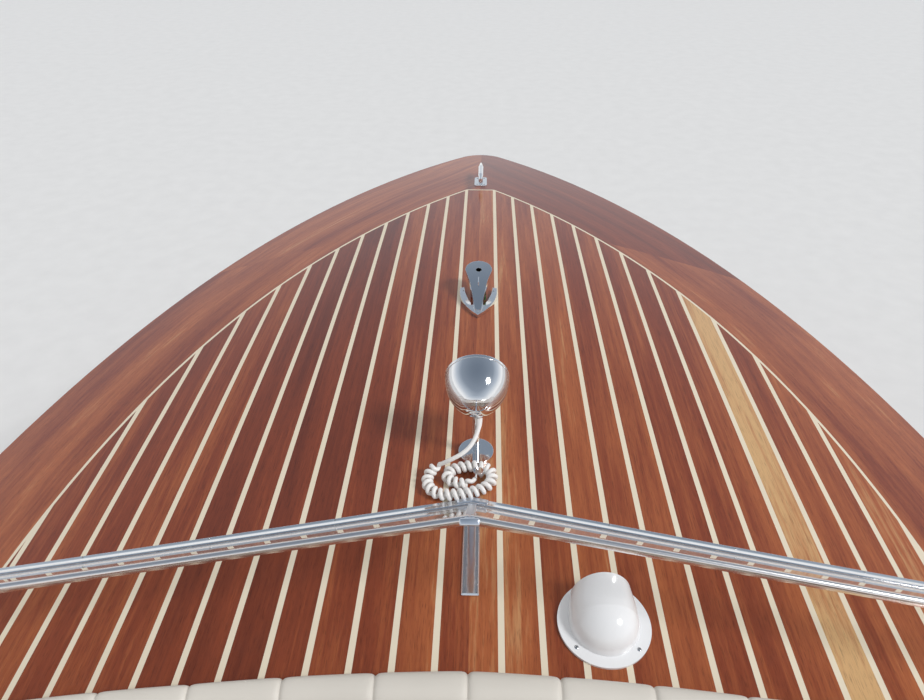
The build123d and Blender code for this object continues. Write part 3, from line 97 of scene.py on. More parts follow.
# ---------------------------------------------------------------- materials
def fill_ramp(ramp, stops):
    """Sets a colour ramp's stops, which go from low to high. A number stands for a grey."""
    while len(ramp.elements) < len(stops):
        ramp.elements.new(0.5)
    for element, (place, colour) in zip(ramp.elements, stops):
        element.position = place
        element.color = (*colour, 1.0) if isinstance(colour, tuple) else (colour,) * 3 + (1.0,)


class Shader:
    """A node material with one Principled BSDF, and short calls for the nodes that feed it."""

    def __init__(self, name, **sockets):
        self.material = bpy.data.materials.new(name)
        self.material.use_nodes = True
        self.tree = self.material.node_tree
        self.bsdf = self.tree.nodes["Principled BSDF"]
        for socket, value in sockets.items():
            self.bsdf.inputs[socket.replace("_", " ")].default_value = value

    def node(self, kind, **settings):
        made = self.tree.nodes.new(kind)
        for key, value in settings.items():
            setattr(made, key, value)
        return made

    def feed(self, value, socket):
        if isinstance(value, bpy.types.NodeSocket):
            self.tree.links.new(value, socket)
        else:
            socket.default_value = value

    def math(self, operation, first, second=0.0, third=0.0):
        made = self.node("ShaderNodeMath", operation=operation)
        for value, socket in zip((first, second, third), made.inputs):
            self.feed(value, socket)
        return made.outputs[0]

    def point(self):
        """The point in the object's own, unmoving coordinates."""
        return self.node("ShaderNodeTexCoord").outputs["Object"]

    def place(self):
        """That point's x, y and z."""
        split = self.node("ShaderNodeSeparateXYZ")
        self.feed(self.point(), split.inputs[0])
        return split.outputs[0], split.outputs[1], split.outputs[2]

    def vector(self, x, y, z):
        made = self.node("ShaderNodeCombineXYZ")
        for value, socket in zip((x, y, z), made.inputs):
            self.feed(value, socket)
        return made.outputs[0]

    def noise(self, vector, scale=1.0, detail=3.0, roughness=0.5, distortion=0.0):
        made = self.node("ShaderNodeTexNoise")
        sockets = ("Vector", "Scale", "Detail", "Roughness", "Distortion")
        for socket, value in zip(sockets, (vector, scale, detail, roughness, distortion)):
            self.feed(value, made.inputs[socket])
        return made.outputs["Fac"]

    def random(self, seed):
        made = self.node("ShaderNodeTexWhiteNoise", noise_dimensions="1D")
        self.feed(seed, made.inputs["W"])
        return made.outputs["Value"]

    def ramp(self, value, stops):
        made = self.node("ShaderNodeValToRGB")
        fill_ramp(made.color_ramp, stops)
        self.feed(value, made.inputs["Fac"])
        return made.outputs["Color"]

    def mix(self, amount, first, second, blend="MIX"):
        made = self.node("ShaderNodeMix", data_type="RGBA", blend_type=blend)
        self.feed(amount, made.inputs[0])
        for value, socket in ((first, made.inputs[6]), (second, made.inputs[7])):
            self.feed((*value, 1.0) if isinstance(value, tuple) else value, socket)
        return made.outputs[2]

    def bump(self, height, distance, strength=1.0, rounding=0.0):
        made = self.node("ShaderNodeBump")
        if rounding:
            edges = self.node("ShaderNodeBevel", samples=4)
            edges.inputs["Radius"].default_value = rounding
            self.feed(edges.outputs[0], made.inputs["Normal"])
        made.inputs["Strength"].default_value = strength
        made.inputs["Distance"].default_value = distance
        self.feed(height, made.inputs["Height"])
        self.feed(made.outputs[0], self.bsdf.inputs["Normal"])

    def set(self, **values):
        for socket, value in values.items():
            self.feed(value, self.bsdf.inputs[socket.replace("_", " ")])


VARNISH = dict(
    Roughness=0.3,
    Specular_IOR_Level=0.25,
    Coat_Weight=0.75,
    Coat_Roughness=0.08,
    Coat_IOR=1.45,
)
WOOD_DARK = (0.122, 0.024, 0.011)
WOOD_MIDDLE = (0.250, 0.053, 0.020)
WOOD_LIGHT = (0.430, 0.124, 0.042)
WOOD_PALE = (0.670, 0.410, 0.190)
CREAM = (0.86, 0.765, 0.60)
BOTTOM_RED = (0.16, 0.028, 0.022)
SEAM_HALF = 0.0052
PALE_BOARD = 9.0


def grain(shader, along, across, depth, board, tone):
    """Varnished mahogany: board is a number for each plank, tone from 0, dark, to 1, light."""
    shift = shader.math("MULTIPLY", board, 7.31)

    def fibres(across_scale, along_scale, **settings):
        stretched = shader.vector(
            shader.math("MULTIPLY_ADD", across, across_scale, shift),
            shader.math("MULTIPLY", along, along_scale),
            shader.math("MULTIPLY", depth, across_scale),
        )
        return shader.noise(stretched, **settings)

    broad = fibres(20.0, 1.1, detail=4.0, distortion=0.35)
    streak = fibres(150.0, 3.5, detail=5.0, roughness=0.6)
    pores = fibres(900.0, 22.0, detail=2.0)
    level = shader.math("MULTIPLY_ADD", shader.math("SUBTRACT", broad, 0.5), 0.9, tone)
    level = shader.math("MULTIPLY_ADD", shader.math("SUBTRACT", streak, 0.5), 0.55, level)
    colour = shader.ramp(
        level,
        [(0.0, WOOD_DARK), (0.42, WOOD_MIDDLE), (0.72, WOOD_LIGHT), (1.0, WOOD_PALE)],
    )
    specks = shader.ramp(pores, [(0.30, 0.55), (0.46, 1.0)])
    colour = shader.mix(0.8, colour, specks, "MULTIPLY")
    shader.set(Base_Color=colour)
    shader.bump(pores, 0.00012, 0.5)
    return colour


def planked_wood(name, king=KING_PITCH, pitch=PLANK_PITCH, seams=False):
    """Fore-and-aft planks, each with its own tone, a little lighter to starboard."""
    shader = Shader(name, **VARNISH)
    x, y, z = shader.place()
    side = shader.math("SIGN", x)
    reach = shader.math("SUBTRACT", shader.math("ABSOLUTE", x), king / 2)
    count = shader.math("ADD", shader.math("FLOOR", shader.math("DIVIDE", reach, pitch)), 1.0)
    board = shader.math("MULTIPLY", shader.math("MAXIMUM", count, 0.0), side)
    tone = shader.math("MULTIPLY_ADD", shader.random(shader.math("ADD", board, 41.5)), 0.36, 0.26)
    tone = shader.math("MULTIPLY_ADD", side, 0.10, tone)
    pale = shader.math("COMPARE", board, PALE_BOARD, 0.1)
    tone = shader.math("MULTIPLY_ADD", pale, 0.42, tone)
    colour = grain(shader, y, x, z, board, tone)
    if seams:
        place = shader.math("FRACT", shader.math("DIVIDE", reach, pitch))
        line = shader.math("COMPARE", place, 0.5, 0.5 - SEAM_HALF / pitch)
        line = shader.math("SUBTRACT", 1.0, line)
        outside = shader.math("GREATER_THAN", reach, -SEAM_HALF)
        line = shader.math("MULTIPLY", line, outside)
        shader.set(Base_Color=shader.mix(line, colour, CREAM))
    return shader.material


# Half breadth of the deck's edge by distance from the bow, and the scarf in the covering boards
SHEER = [
    (0.0, 0.02),
    (0.06, 0.10),
    (0.15, 0.18),
    (0.3, 0.29),
    (0.6, 0.53),
    (1.0, 0.777),
    (1.6, 1.01),
    (2.2, 1.11),
    (3.4, 1.12),
    (6.3, 0.93),
]
SHEER_SPAN = 6.3
SHEER_WIDEST = 1.2
BOW_Y = 3.15
SCARF_Y = 2.1


def board_wood(name):
    """The covering board: its grain follows the hull's edge."""
    shader = Shader(name, **VARNISH)
    x, y, z = shader.place()
    back = shader.math("SUBTRACT", BOW_Y, y)
    edge = shader.node("ShaderNodeFloatCurve")
    curve = edge.mapping.curves[0]
    for place, value in SHEER:
        point = curve.points.new(place / SHEER_SPAN, value / SHEER_WIDEST)
        point.handle_type = "AUTO"
    curve.points.remove(curve.points[-1])
    curve.points.remove(curve.points[0])
    edge.mapping.update()
    shader.feed(shader.math("DIVIDE", back, SHEER_SPAN), edge.inputs["Value"])
    width = shader.math("MULTIPLY", edge.outputs[0], SHEER_WIDEST)
    across = shader.math("SUBTRACT", shader.math("ABSOLUTE", x), width)
    scarf = shader.math("GREATER_THAN", shader.math("MULTIPLY_ADD", across, 0.55, y), SCARF_Y)
    side = shader.math("SIGN", x)
    board = shader.math("ADD", shader.math("MULTIPLY", scarf, 2.0), side)
    tone = shader.math("MULTIPLY_ADD", shader.random(shader.math("ADD", board, 17.5)), 0.22, 0.34)
    grain(shader, back, across, z, board, tone)
    return shader.material


def plain_wood(name, axis, tone=0.42, **finish):
    """One board with its grain along an axis."""
    shader = Shader(name, **{**VARNISH, **finish})
    places = dict(zip("xyz", shader.place()))
    along = places.pop(axis)
    across, depth = places.values()
    grain(shader, along, across, depth, 3.0, tone)
    return shader.material


def polished(name, tint=(0.84, 0.845, 0.855), rough=0.07, wear=0.05):
    """Polished stainless steel with faint rubbing marks, slight waves and softened edges."""
    shader = Shader(name, Metallic=1.0)
    shader.bsdf.inputs["Base Color"].default_value = (*tint, 1.0)
    place = shader.point()
    marks = shader.noise(place, scale=85.0, detail=6.0, roughness=0.65)
    shader.set(Roughness=shader.math("MULTIPLY_ADD", marks, wear, rough - wear / 2))
    waves = shader.noise(place, scale=26.0, detail=3.0)
    fine = shader.noise(place, scale=900.0, detail=2.0)
    shader.bump(shader.math("MULTIPLY_ADD", fine, 0.04, waves), 0.0006, 0.5, rounding=0.0012)
    return shader.material


def vinyl(name, colour=(0.745, 0.705, 0.64)):
    """Soft upholstery vinyl with a fine leather grain."""
    shader = Shader(name, Roughness=0.42, Sheen_Weight=0.15)
    place = shader.point()
    cells = shader.node("ShaderNodeTexVoronoi", feature="DISTANCE_TO_EDGE")
    cells.inputs["Scale"].default_value = 620.0
    shader.feed(place, cells.inputs["Vector"])
    crease = shader.ramp(cells.outputs["Distance"], [(0.0, 0.0), (0.22, 1.0)])
    cloud = shader.noise(place, scale=6.0, detail=3.0)
    dark = tuple(0.88 * c for c in colour)
    shader.set(Base_Color=shader.mix(cloud, dark, tuple(min(1.0, 1.06 * c) for c in colour)))
    shader.bump(crease, 0.00025, 0.5)
    return shader.material


def moulded(name, colour, rough=0.3, speckle=300.0, depth=0.00005, **sockets):
    """Plastic, rubber or paint: an even colour with a little cloud, dust and texture."""
    shader = Shader(name, **sockets)
    place = shader.point()
    cloud = shader.noise(place, scale=9.0, detail=4.0)
    low = tuple(0.90 * c for c in colour)
    shader.set(Base_Color=shader.mix(cloud, low, colour))
    shader.set(Roughness=shader.math("MULTIPLY_ADD", cloud, 0.12, rough - 0.06))
    shader.bump(shader.noise(place, scale=speckle, detail=2.0), depth, 0.5)
    return shader.material


# Warm tint at grazing angles: partly haze, partly a painted reflection of the deck's wood
HAZE_AND_REFLECTION_TINT = (0.93, 0.80, 0.74)
GLASS_SHADE = 0.08


def glass(name, tint=(0.93, 0.97, 0.96), haze_and_reflection_at_edge=0.0):
    """Clear glazing that shades little. Where it is seen along its surface it shows a warm haze and
    a painted reflection of the wood.
    """
    shader = Shader(name, Roughness=0.02, Transmission_Weight=1.0, IOR=1.5)
    if haze_and_reflection_at_edge:
        # Towards grazing angles part of the pane turns to a warm diffuse colour, which is haze and
        # painted reflection
        facing = shader.node("ShaderNodeLayerWeight")
        facing.inputs["Blend"].default_value = 0.5
        graze = shader.math("POWER", facing.outputs["Facing"], 5.0)
        shader.set(Transmission_Weight=shader.math("MULTIPLY_ADD", graze, -haze_and_reflection_at_edge, 1.0))
        tint = tuple(t * h for t, h in zip(tint, HAZE_AND_REFLECTION_TINT))
    haze = shader.noise(shader.point(), scale=4.0, detail=3.0)
    shader.set(Base_Color=shader.mix(haze, tint, tuple(0.97 * c for c in tint)))
    ray = shader.node("ShaderNodeLightPath")
    plain = shader.math("MAXIMUM", ray.outputs["Is Shadow Ray"], ray.outputs["Is Diffuse Ray"])
    shader.set(Alpha=shader.math("MULTIPLY_ADD", plain, GLASS_SHADE - 1.0, 1.0))
    return shader.material


# Topside planks, whose joints lift towards the bow, and the edges of the boot stripe
STRAKE = 0.105
STRAKE_JOINT = 0.016
FAIRING = 0.012
STRIPE_TOP = 0.085
STRIPE_FOOT = 0.035


def hull_finish():
    """Varnished topside planks, a pale boot stripe and dull red bottom paint."""
    shader = Shader("hull_topsides", **VARNISH)
    x, y, z = shader.place()
    ahead = shader.math("POWER", shader.math("MAXIMUM", y, 0.0), 2.0)
    fair = shader.math("MULTIPLY", ahead, FAIRING)
    level = shader.math("SUBTRACT", z, fair)
    row = shader.math("DIVIDE", level, STRAKE)
    board = shader.math("FLOOR", row)
    tone = shader.math("MULTIPLY_ADD", shader.random(shader.math("ADD", board, 5.5)), 0.16, 0.34)
    colour = grain(shader, y, level, x, board, tone)
    inside = shader.math("COMPARE", shader.math("FRACT", row), 0.5, 0.5 - STRAKE_JOINT)
    joint = shader.math("SUBTRACT", 1.0, inside)
    colour = shader.mix(shader.math("MULTIPLY", joint, 0.75), colour, (0.05, 0.016, 0.010))
    stripe = shader.math("LESS_THAN", z, STRIPE_TOP)
    colour = shader.mix(stripe, colour, (0.78, 0.76, 0.70))
    bottom = shader.math("LESS_THAN", z, STRIPE_FOOT)
    colour = shader.mix(bottom, colour, BOTTOM_RED)
    shader.set(Base_Color=colour)
    shader.set(Roughness=shader.math("MULTIPLY_ADD", bottom, 0.35, 0.24))
    shader.set(Coat_Weight=shader.math("SUBTRACT", 1.0, bottom))
    return shader.material


steel = polished("polished_steel")
satin_steel = polished("satin_steel", rough=0.28, wear=0.12)
bronze = polished("cast_bronze", tint=(0.62, 0.42, 0.20), rough=0.34, wear=0.2)
cream_vinyl = vinyl("cream_vinyl")
caulk = moulded("cream_caulking", CREAM, rough=0.42, speckle=700.0)
long_wood = plain_wood("mahogany_fore_and_aft", "y")
cross_wood = plain_wood("mahogany_athwart", "x")
# What a node is finished with where it is not polished steel
FINISHES = {
    "hull": hull_finish(),
    "keel": moulded("bottom_paint", BOTTOM_RED, rough=0.6),
    "transom": cross_wood,
    "covering_board_starboard": board_wood("covering_board_wood"),
    "deck_planks": planked_wood("deck_plank_wood"),
    "deck_seams": caulk,
    "engine_hatch": planked_wood("hatch_plank_wood", seams=True),
    "cockpit_sole": planked_wood("sole_wood", king=0.09, pitch=0.09, seams=True),
    "side_liners": long_wood,
    "front_seat_bases": cross_wood,
    "rear_seat_base": cross_wood,
    "engine_block": moulded("engine_paint", (0.16, 0.17, 0.19), rough=0.5, Metallic=0.3),
    "dashboard": cross_wood,
    "gauge_dials": moulded("dial_black", (0.02, 0.02, 0.022), rough=0.35),
    "steering_column": satin_steel,
    "steering_wheel": moulded("wheel_ivory", (0.78, 0.72, 0.58), rough=0.22, Coat_Weight=0.6),
    "windshield_base": polished("windshield_steel", rough=0.12, wear=0.08),
    "searchlight_lens": glass("lamp_glass"),
    "cowl_vent": moulded("white_gelcoat", (0.95, 0.96, 0.98), rough=0.16, Coat_Weight=0.5),
    "pane_starboard": glass("pane_glass", haze_and_reflection_at_edge=0.9),
    "propeller": bronze,
    "propeller_shaft": satin_steel,
    "shaft_strut": bronze,
    "rudder": bronze,
    "rudder_bearing": bronze,
}
FINISHES["covering_board_port"] = FINISHES["covering_board_starboard"]
FINISHES["pane_port"] = FINISHES["pane_starboard"]


def lens_colours():
    """Red to port, green to starboard."""
    shader = Shader("side_lens", Roughness=0.03, Transmission_Weight=0.7, IOR=1.49)
    x, _, _ = shader.place()
    starboard = shader.math("GREATER_THAN", x, 0.002)
    shader.set(Base_Color=shader.mix(starboard, (0.55, 0.02, 0.02), (0.02, 0.32, 0.10)))
    return shader.material


FINISHES["bow_light_lenses"] = lens_colours()


def finish(piece, material):
    """The piece shows one material all over."""
    piece.data.materials.clear()
    piece.data.materials.append(material)


for name, node in nodes.items():
    finish(node, FINISHES.get(name, steel))


# ---------------------------------------------------------------- the searchlight's cord
def on_deck(x, y, rise):
    """The point at a height above the deck there."""
    return Vector((x, y, deck_z(x, y) + rise))


# across, forward, height above the deck
LEAD_ROUTE = [
    (0.01, 1.271, 0.1056),
    (0.0109, 1.2655, 0.0987),
    (0.0102, 1.2603, 0.0929),
    (0.0064, 1.2499, 0.0832),
    (-0.0002, 1.238, 0.0743),
    (-0.0102, 1.2272, 0.0664),
    (-0.0248, 1.2192, 0.0587),
    (-0.0439, 1.216, 0.049),
    (-0.0575, 1.2186, 0.0375),
]
CURLY_ROUTE = [
    (-0.0575, 1.2186, 0.0375),
    (-0.077, 1.2224, 0.021),
    (-0.089, 1.203, 0.012),
    (-0.083, 1.179, 0.012),
    (-0.067, 1.166, 0.012),
    (-0.046, 1.163, 0.012),
    (-0.024, 1.165, 0.012),
    (-0.002, 1.1705, 0.012),
    (0.02, 1.179, 0.012),
    (0.035, 1.195, 0.012),
    (0.038, 1.215, 0.012),
    (0.03, 1.231, 0.012),
    (0.009, 1.2375, 0.012),
    (-0.014, 1.237, 0.012),
    (-0.033, 1.2305, 0.012),
    (-0.048, 1.221, 0.012),
    (-0.05, 1.2055, 0.012),
    (-0.037, 1.1945, 0.012),
    (-0.018, 1.19, 0.012),
    (-0.004, 1.194, 0.012),
    (0.004, 1.204, 0.012),
]
# The strand, its helix, the boot it leaves the lamp through, and the helix's loose ends
CORD_RADIUS = 0.0042
HELIX_RADIUS = 0.0077
HELIX_PITCH = 0.0128
HELIX_STEPS = 14
RELIEF = 0.022
RELIEF_SWELL = 0.7
HELIX_RAMP = 0.028
HELIX_LOOSE_PITCH = 0.055
HELIX_START = 0.02


def nurbs(name, points, radius=0.0, relief=0.0):
    """A smooth open curve with those control points, thicker over its first stretch of relief."""
    data = bpy.data.curves.new(name, "CURVE")
    data.dimensions = "3D"
    data.bevel_depth = radius
    data.bevel_resolution = 6
    data.use_fill_caps = True
    spline = data.splines.new("NURBS")
    spline.points.add(len(points) - 1)
    for point, place in zip(spline.points, points):
        point.co = (*place, 1.0)
        if relief:
            point.radius = 1 + RELIEF_SWELL * max(0.0, 1 - (place - points[0]).length / relief)
    spline.order_u = 3
    spline.use_endpoint_u = True
    spline.resolution_u = 5
    return in_scene(name, data)


def read_line(curve):
    """The points of a plain curve's own line."""
    mesh = bpy.data.meshes.new_from_object(curve)
    points = [v.co.copy() for v in mesh.vertices]
    bpy.data.meshes.remove(mesh)
    return points


def walk(points, step):
    """Points at even steps along a line."""
    found = [points[0].copy()]
    left = step
    for a, b in zip(points, points[1:]):
        run = (b - a).length
        at = 0.0
        while run - at >= left:
            at += left
            found.append(a.lerp(b, at / run))
            left = step
        left -= run - at
    return found


route = nurbs("cord_route", [on_deck(*place) for place in LEAD_ROUTE + CURLY_ROUTE])
HELIX_STEP = HELIX_PITCH / HELIX_STEPS
line = walk(read_line(route), HELIX_STEP)
bpy.data.objects.remove(route)
coil_start = on_deck(*LEAD_ROUTE[-1])
first = min(range(len(line)), key=lambda i: (line[i] - coil_start).length)
steps = len(line) - 1 - first
cord_points = line[: first - HELIX_STEPS // 4 : HELIX_STEPS // 2]
side = Vector((0, 0, 1))
turn = 0.0
for number in range(steps + 1):
    place = line[first + number]
    ahead = (line[min(first + number + 1, len(line) - 1)] - line[first + number - 1]).normalized()
    side = (side - ahead * side.dot(ahead)).normalized()
    run = number * HELIX_STEP
    swell = min(1.0, run / HELIX_RAMP, (steps * HELIX_STEP - run) / HELIX_RAMP)
    swell = swell * swell * (3 - 2 * swell)
    pitch = HELIX_PITCH + (HELIX_LOOSE_PITCH - HELIX_PITCH) * (1 - swell) ** 2
    turn += 2 * math.pi * HELIX_STEP / pitch
    out = side * math.cos(turn) + ahead.cross(side) * math.sin(turn)
    if swell > HELIX_START or number == steps:
        cord_points.append(place + out * HELIX_RADIUS * swell)
cord = nurbs("searchlight_cord", cord_points, CORD_RADIUS, relief=RELIEF)
cord.data.materials.append(
    moulded("cord_jacket", (0.96, 0.945, 0.93), rough=0.38, speckle=500.0, Sheen_Weight=0.1)
)
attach(cord, "boat")
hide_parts("searchlight_lead", "curly_cord")
tuple(on_deck(*LEAD_ROUTE[0]))

# ---------------------------------------------------------------- upholstery
# How far a pad starts below its cover, its seams' depth, and the places of the rings beside one
SINK = 0.007
GROOVE = 0.006
FINE = (0.0, 0.0022, 0.007)
SOFT_STEPS = 20
PRESSURE = 4.0


def skin(data, rings):
    """Faces between each ring of vertices and the next."""
    for ring, after in zip(rings, rings[1:]):
        for number in range(len(ring)):
            following = (number + 1) % len(ring)
            data.faces.new((ring[number], ring[following], after[following], after[number]))


def sweep(data, rings):
    """Faces along a row of rings, and one over each end."""
    skin(data, rings)
    data.faces.new(rings[0])
    data.faces.new(rings[-1])


def outline(corners, step):
    """Evenly spaced points round a closed shape whose corners are (along, up, radius)."""
    dense = []
    count = len(corners)
    for number, (a, b, radius) in enumerate(corners):
        corner = Vector((a, b, 0))
        before = (Vector((*corners[number - 1][:2], 0)) - corner).normalized()
        after = (Vector((*corners[(number + 1) % count][:2], 0)) - corner).normalized()
        half = before.angle(after) / 2
        reach = radius / math.tan(half)
        middle = corner + (before + after).normalized() * (radius / math.sin(half))
        start, end = corner + before * reach, corner + after * reach
        for part in range(9):
            point = start.lerp(end, part / 8)
            dense.append(middle + (point - middle).normalized() * radius if radius else corner)
    dense = [p for p, q in zip(dense, dense[1:] + dense[:1]) if (p - q).length > 1e-6]
    loop = dense + dense[:1]
    length = sum((q - p).length for p, q in zip(loop, loop[1:]))
    number = round(length / step)
    return walk(loop, length / number * 0.999999)[:number]


def outward(section):
    """Unit normals of a closed shape, away from its inside."""
    area = sum(p.x * q.y - p.y * q.x for p, q in zip(section, section[1:] + section[:1]))
    sign = 1.0 if area > 0 else -1.0
    found = []
    for number in range(len(section)):
        along = section[(number + 1) % len(section)] - section[number - 1]
        found.append(Vector((along.y, -along.x, 0)).normalized() * sign)
    return found


def stations(length, panels, rounding, step):
    """Places along a pad, each with its inset and whether a seam lies there."""
    found = []
    pitch = length / panels
    for panel in range(panels):
        start = panel * pitch
        first, last = panel == 0, panel == panels - 1
        low = rounding if first else FINE[-1]
        high = pitch - (rounding if last else FINE[-1])
        if first:
            shares = (0.0, 0.06, 0.2, 0.42, 0.7)
            found += [(share * rounding, end_inset(share, rounding), False) for share in shares]
        else:
            found += [(start + FINE[0], GROOVE, True), (start + FINE[1], GROOVE * 0.35, False)]
        count = max(2, round((high - low) / step))
        for number in range(count + 1):
            found.append((start + low + (high - low) * number / count, 0.0, False))
        if last:
            shares = (0.7, 0.42, 0.2, 0.06, 0.0)
            found += [(length - s * rounding, end_inset(s, rounding), False) for s in shares]
        else:
            found.append((start + pitch - FINE[1], GROOVE * 0.35, False))
    return found


def end_inset(share, rounding):
    """How far in a rounded end has come, at a share of its length."""
    return rounding * (1 - math.sqrt(1 - (1 - share) ** 2))


soft_pieces = []


def pad(name, node, body, corners, place, length, panels, rests, rounding=0.028, step=0.014,
        along=0.014, cap=0.008, sink=SINK):
    """A stuffed pad with sewn channels across it. place(s, a, b) puts it in the boat."""
    section = outline(corners, step)
    normals = outward(section)
    held = [rests(p.x, p.y) for p in section]
    data = bmesh.new()
    rings = []
    pins = []
    for at, inset, seam in stations(length, panels, rounding, along):
        ring = []
        for point, normal, resting in zip(section, normals, held):
            back = inset + sink
            moved = point - normal * (min(back, 0.5 * inset) if resting else back)
            vertex = data.verts.new(place(at, moved.x, moved.y))
            if seam or resting:
                pins.append(len(rings) * len(section) + len(ring))
            ring.append(vertex)
        rings.append(ring)
    skin(data, rings)
    for ring in (rings[0], rings[-1]):
        close_end(data, ring)
    made = from_bmesh(name, data)
    group = made.vertex_groups.new(name="pinned")
    group.add(pins, 1.0, "REPLACE")
    finish(made, cream_vinyl)
    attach(made, body)
    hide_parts(node)
    soft_pieces.append((made, cap))


def close_end(data, ring):
    """Rings that shrink to the middle of an end, so that cloth can bulge there."""
    centre = sum((v.co for v in ring), Vector()) / len(ring)
    for share in (0.86, 0.62, 0.36, 0.14):
        inner = [data.verts.new(centre.lerp(v.co, share)) for v in ring]
        skin(data, [ring, inner])
        ring = inner
    middle = data.verts.new(centre)
    for number in range(len(ring)):
        data.faces.new((ring[number], ring[(number + 1) % len(ring)], middle))


def puff_up():
    """Inflates the pads as cloth and keeps the result, with each move softly capped."""
    scene = bpy.context.scene
    for piece, _ in soft_pieces:
        cloth = piece.modifiers.new("stuffing", "CLOTH")
        cloth.settings.use_pressure = True
        cloth.settings.uniform_pressure_force = PRESSURE
        cloth.settings.effector_weights.gravity = 0.0
        cloth.settings.vertex_group_mass = "pinned"
        cloth.settings.quality = 6
        cloth.point_cache.frame_end = SOFT_STEPS
    for number in range(1, SOFT_STEPS + 1):
        scene.frame_set(number)
    graph = bpy.context.evaluated_depsgraph_get()
    for piece, cap in soft_pieces:
        result = piece.evaluated_get(graph).to_mesh()
        moves = [w.co - v.co for v, w in zip(piece.data.vertices, result.vertices)]
        piece.modifiers.clear()
        for vertex, move in zip(piece.data.vertices, moves):
            if move.length > 1e-7:
                vertex.co += move * (cap * math.tanh(move.length / cap) / move.length)
    scene.frame_set(1)


def smooth(piece, levels=1):
    """One subdivision, applied."""
    made = piece.modifiers.new("smooth", "SUBSURF")
    made.levels = levels
    made.render_levels = levels
    graph = bpy.context.evaluated_depsgraph_get()
    old = piece.data
    piece.data = bpy.data.meshes.new_from_object(piece.evaluated_get(graph))
    piece.modifiers.clear()
    bpy.data.meshes.remove(old)
    piece.data.shade_smooth()


# The coaming roll, along the cockpit's edge: s runs from its port end round to starboard
ARCH_RADIUS = 8.02
ARCH_CENTRE_Y = 0.798 - ARCH_RADIUS
CORNER_RADIUS = 0.14
CORNER_X = 0.66
ARCH_HALF = math.asin(CORNER_X / (ARCH_RADIUS - CORNER_RADIUS))
CORNER_Y = ARCH_CENTRE_Y + math.cos(ARCH_HALF) * (ARCH_RADIUS - CORNER_RADIUS)
ARCH_RUN = ARCH_RADIUS * ARCH_HALF
CORNER_RUN = ARCH_RUN + CORNER_RADIUS * (math.pi / 2 - ARCH_HALF)
SIDE_X = 0.8
ROLL_END_Y = -1.459
ROLL_RUN = CORNER_RUN + CORNER_Y - ROLL_END_Y
ROLL_PANELS = 44
ROLL_WIDE = 0.0265
ROLL_NARROW = 0.0135
ROLL_TAPER = 0.032


def roll_place(s, a, b):
    """a is outward from the cockpit's edge and b is up from the deck."""
    side = 1.0 if s > ROLL_RUN else -1.0
    run = abs(s - ROLL_RUN)
    if run < ARCH_RUN:
        turn = run / ARCH_RADIUS
        x, y = ARCH_RADIUS * math.sin(turn), ARCH_CENTRE_Y + ARCH_RADIUS * math.cos(turn)
    elif run < CORNER_RUN:
        turn = ARCH_HALF + (run - ARCH_RUN) / CORNER_RADIUS
        x, y = CORNER_X + CORNER_RADIUS * math.sin(turn), CORNER_Y + CORNER_RADIUS * math.cos(turn)
    else:
        turn = math.pi / 2
        x, y = SIDE_X, CORNER_Y - (run - CORNER_RUN)
    width = max(ROLL_NARROW, ROLL_WIDE - ROLL_TAPER * x)
    out = a * width / ROLL_WIDE if a > 0 else a
    x, y = side * (x + out * math.sin(turn)), y + out * math.cos(turn)
    return Vector((x, y, deck_z(x, y) + b))


pad(
    "coaming_roll_padding",
    "coaming_roll",
    "boat",
    [
        (ROLL_WIDE, 0.0006, 0.006),
        (ROLL_WIDE, 0.035, 0.024),
        (-0.0305, 0.035, 0.024),
        (-0.0305, -0.044, 0.013),
        (-0.001, -0.044, 0.004),
        (-0.001, 0.0006, 0.001),
    ],
    roll_place,
    2 * ROLL_RUN,
    ROLL_PANELS,
    lambda a, b: b < 0.002 and a > -0.002,
    rounding=0.018,
    step=0.0098,
    along=0.015,
    cap=0.003,
    sink=0.0,
)

# Seats: a runs back from the front edge, or up a backrest, and b runs up, or back through it
SEAT_Z = 0.2554
CUSHION_DEEP = 0.1046
BACK_DEEP = 0.11
LEAN = math.tan(math.radians(12.0))
SEAT_GAP = 0.0004


def cushion_corners(reach):
    """A cushion's section, from front to back."""
    return [
        (0.0, 0.0, 0.012),
        (0.0, CUSHION_DEEP, 0.046),
        (reach, CUSHION_DEEP, 0.03),
        (reach, 0.0, 0.008),
    ]


def back_corners(rise):
    """A backrest's section, from foot to top."""
    return [
        (0.0, 0.0, 0.01),
        (rise, 0.0, 0.04),
        (rise, BACK_DEEP, 0.036),
        (0.0, BACK_DEEP, 0.01),
    ]


def cushion_place(start, side, front):
    """Puts a cushion's points in the boat."""
    return lambda s, a, b: Vector((side * (start + s), front - a, SEAT_Z + b))


def back_place(start, side, foot):
    """Puts a backrest's points in the boat."""
    return lambda s, a, b: Vector((side * (start + s), foot - a * LEAN - b, SEAT_Z + a))


def seat(tag, side, start, width, panels, front, foot, rise, against_wall):
    """A cushion and its backrest."""
    pad(
        tag[0] + "_padding",
        tag[0],
        "boat",
        cushion_corners(front - foot - SEAT_GAP),
        cushion_place(start, side, front),
        width,
        panels,
        lambda a, b: b < 0.001,
    )
    pad(
        tag[1] + "_padding",
        tag[1],
        "boat",
        back_corners(rise),
        back_place(start, side, foot - SEAT_GAP),
        width,
        panels,
        lambda a, b: a < 0.001 or (against_wall and b > BACK_DEEP - 0.001),
    )


for side, word in ((1, "starboard"), (-1, "port")):
    names = ("front_cushion_" + word, "front_back_" + word)
    seat(names, side, 0.11, 0.61, 5, 0.06, -0.33, 0.4346, False)
seat(("rear_cushion", "rear_back"), 1, -0.74, 1.48, 11, -1.01, -1.3722, 0.5446, True)

PAD_FRONT_Y = -1.71
PAD_WIDE = 1.08
PAD_LONG = 0.905
PAD_HIGH = 0.085


def sun_pad_place(s, a, b):
    """s runs to starboard, a runs aft and b is up from the deck."""
    x, y = s - PAD_WIDE / 2, PAD_FRONT_Y - a
    return Vector((x, y, deck_z(x, y) + b))


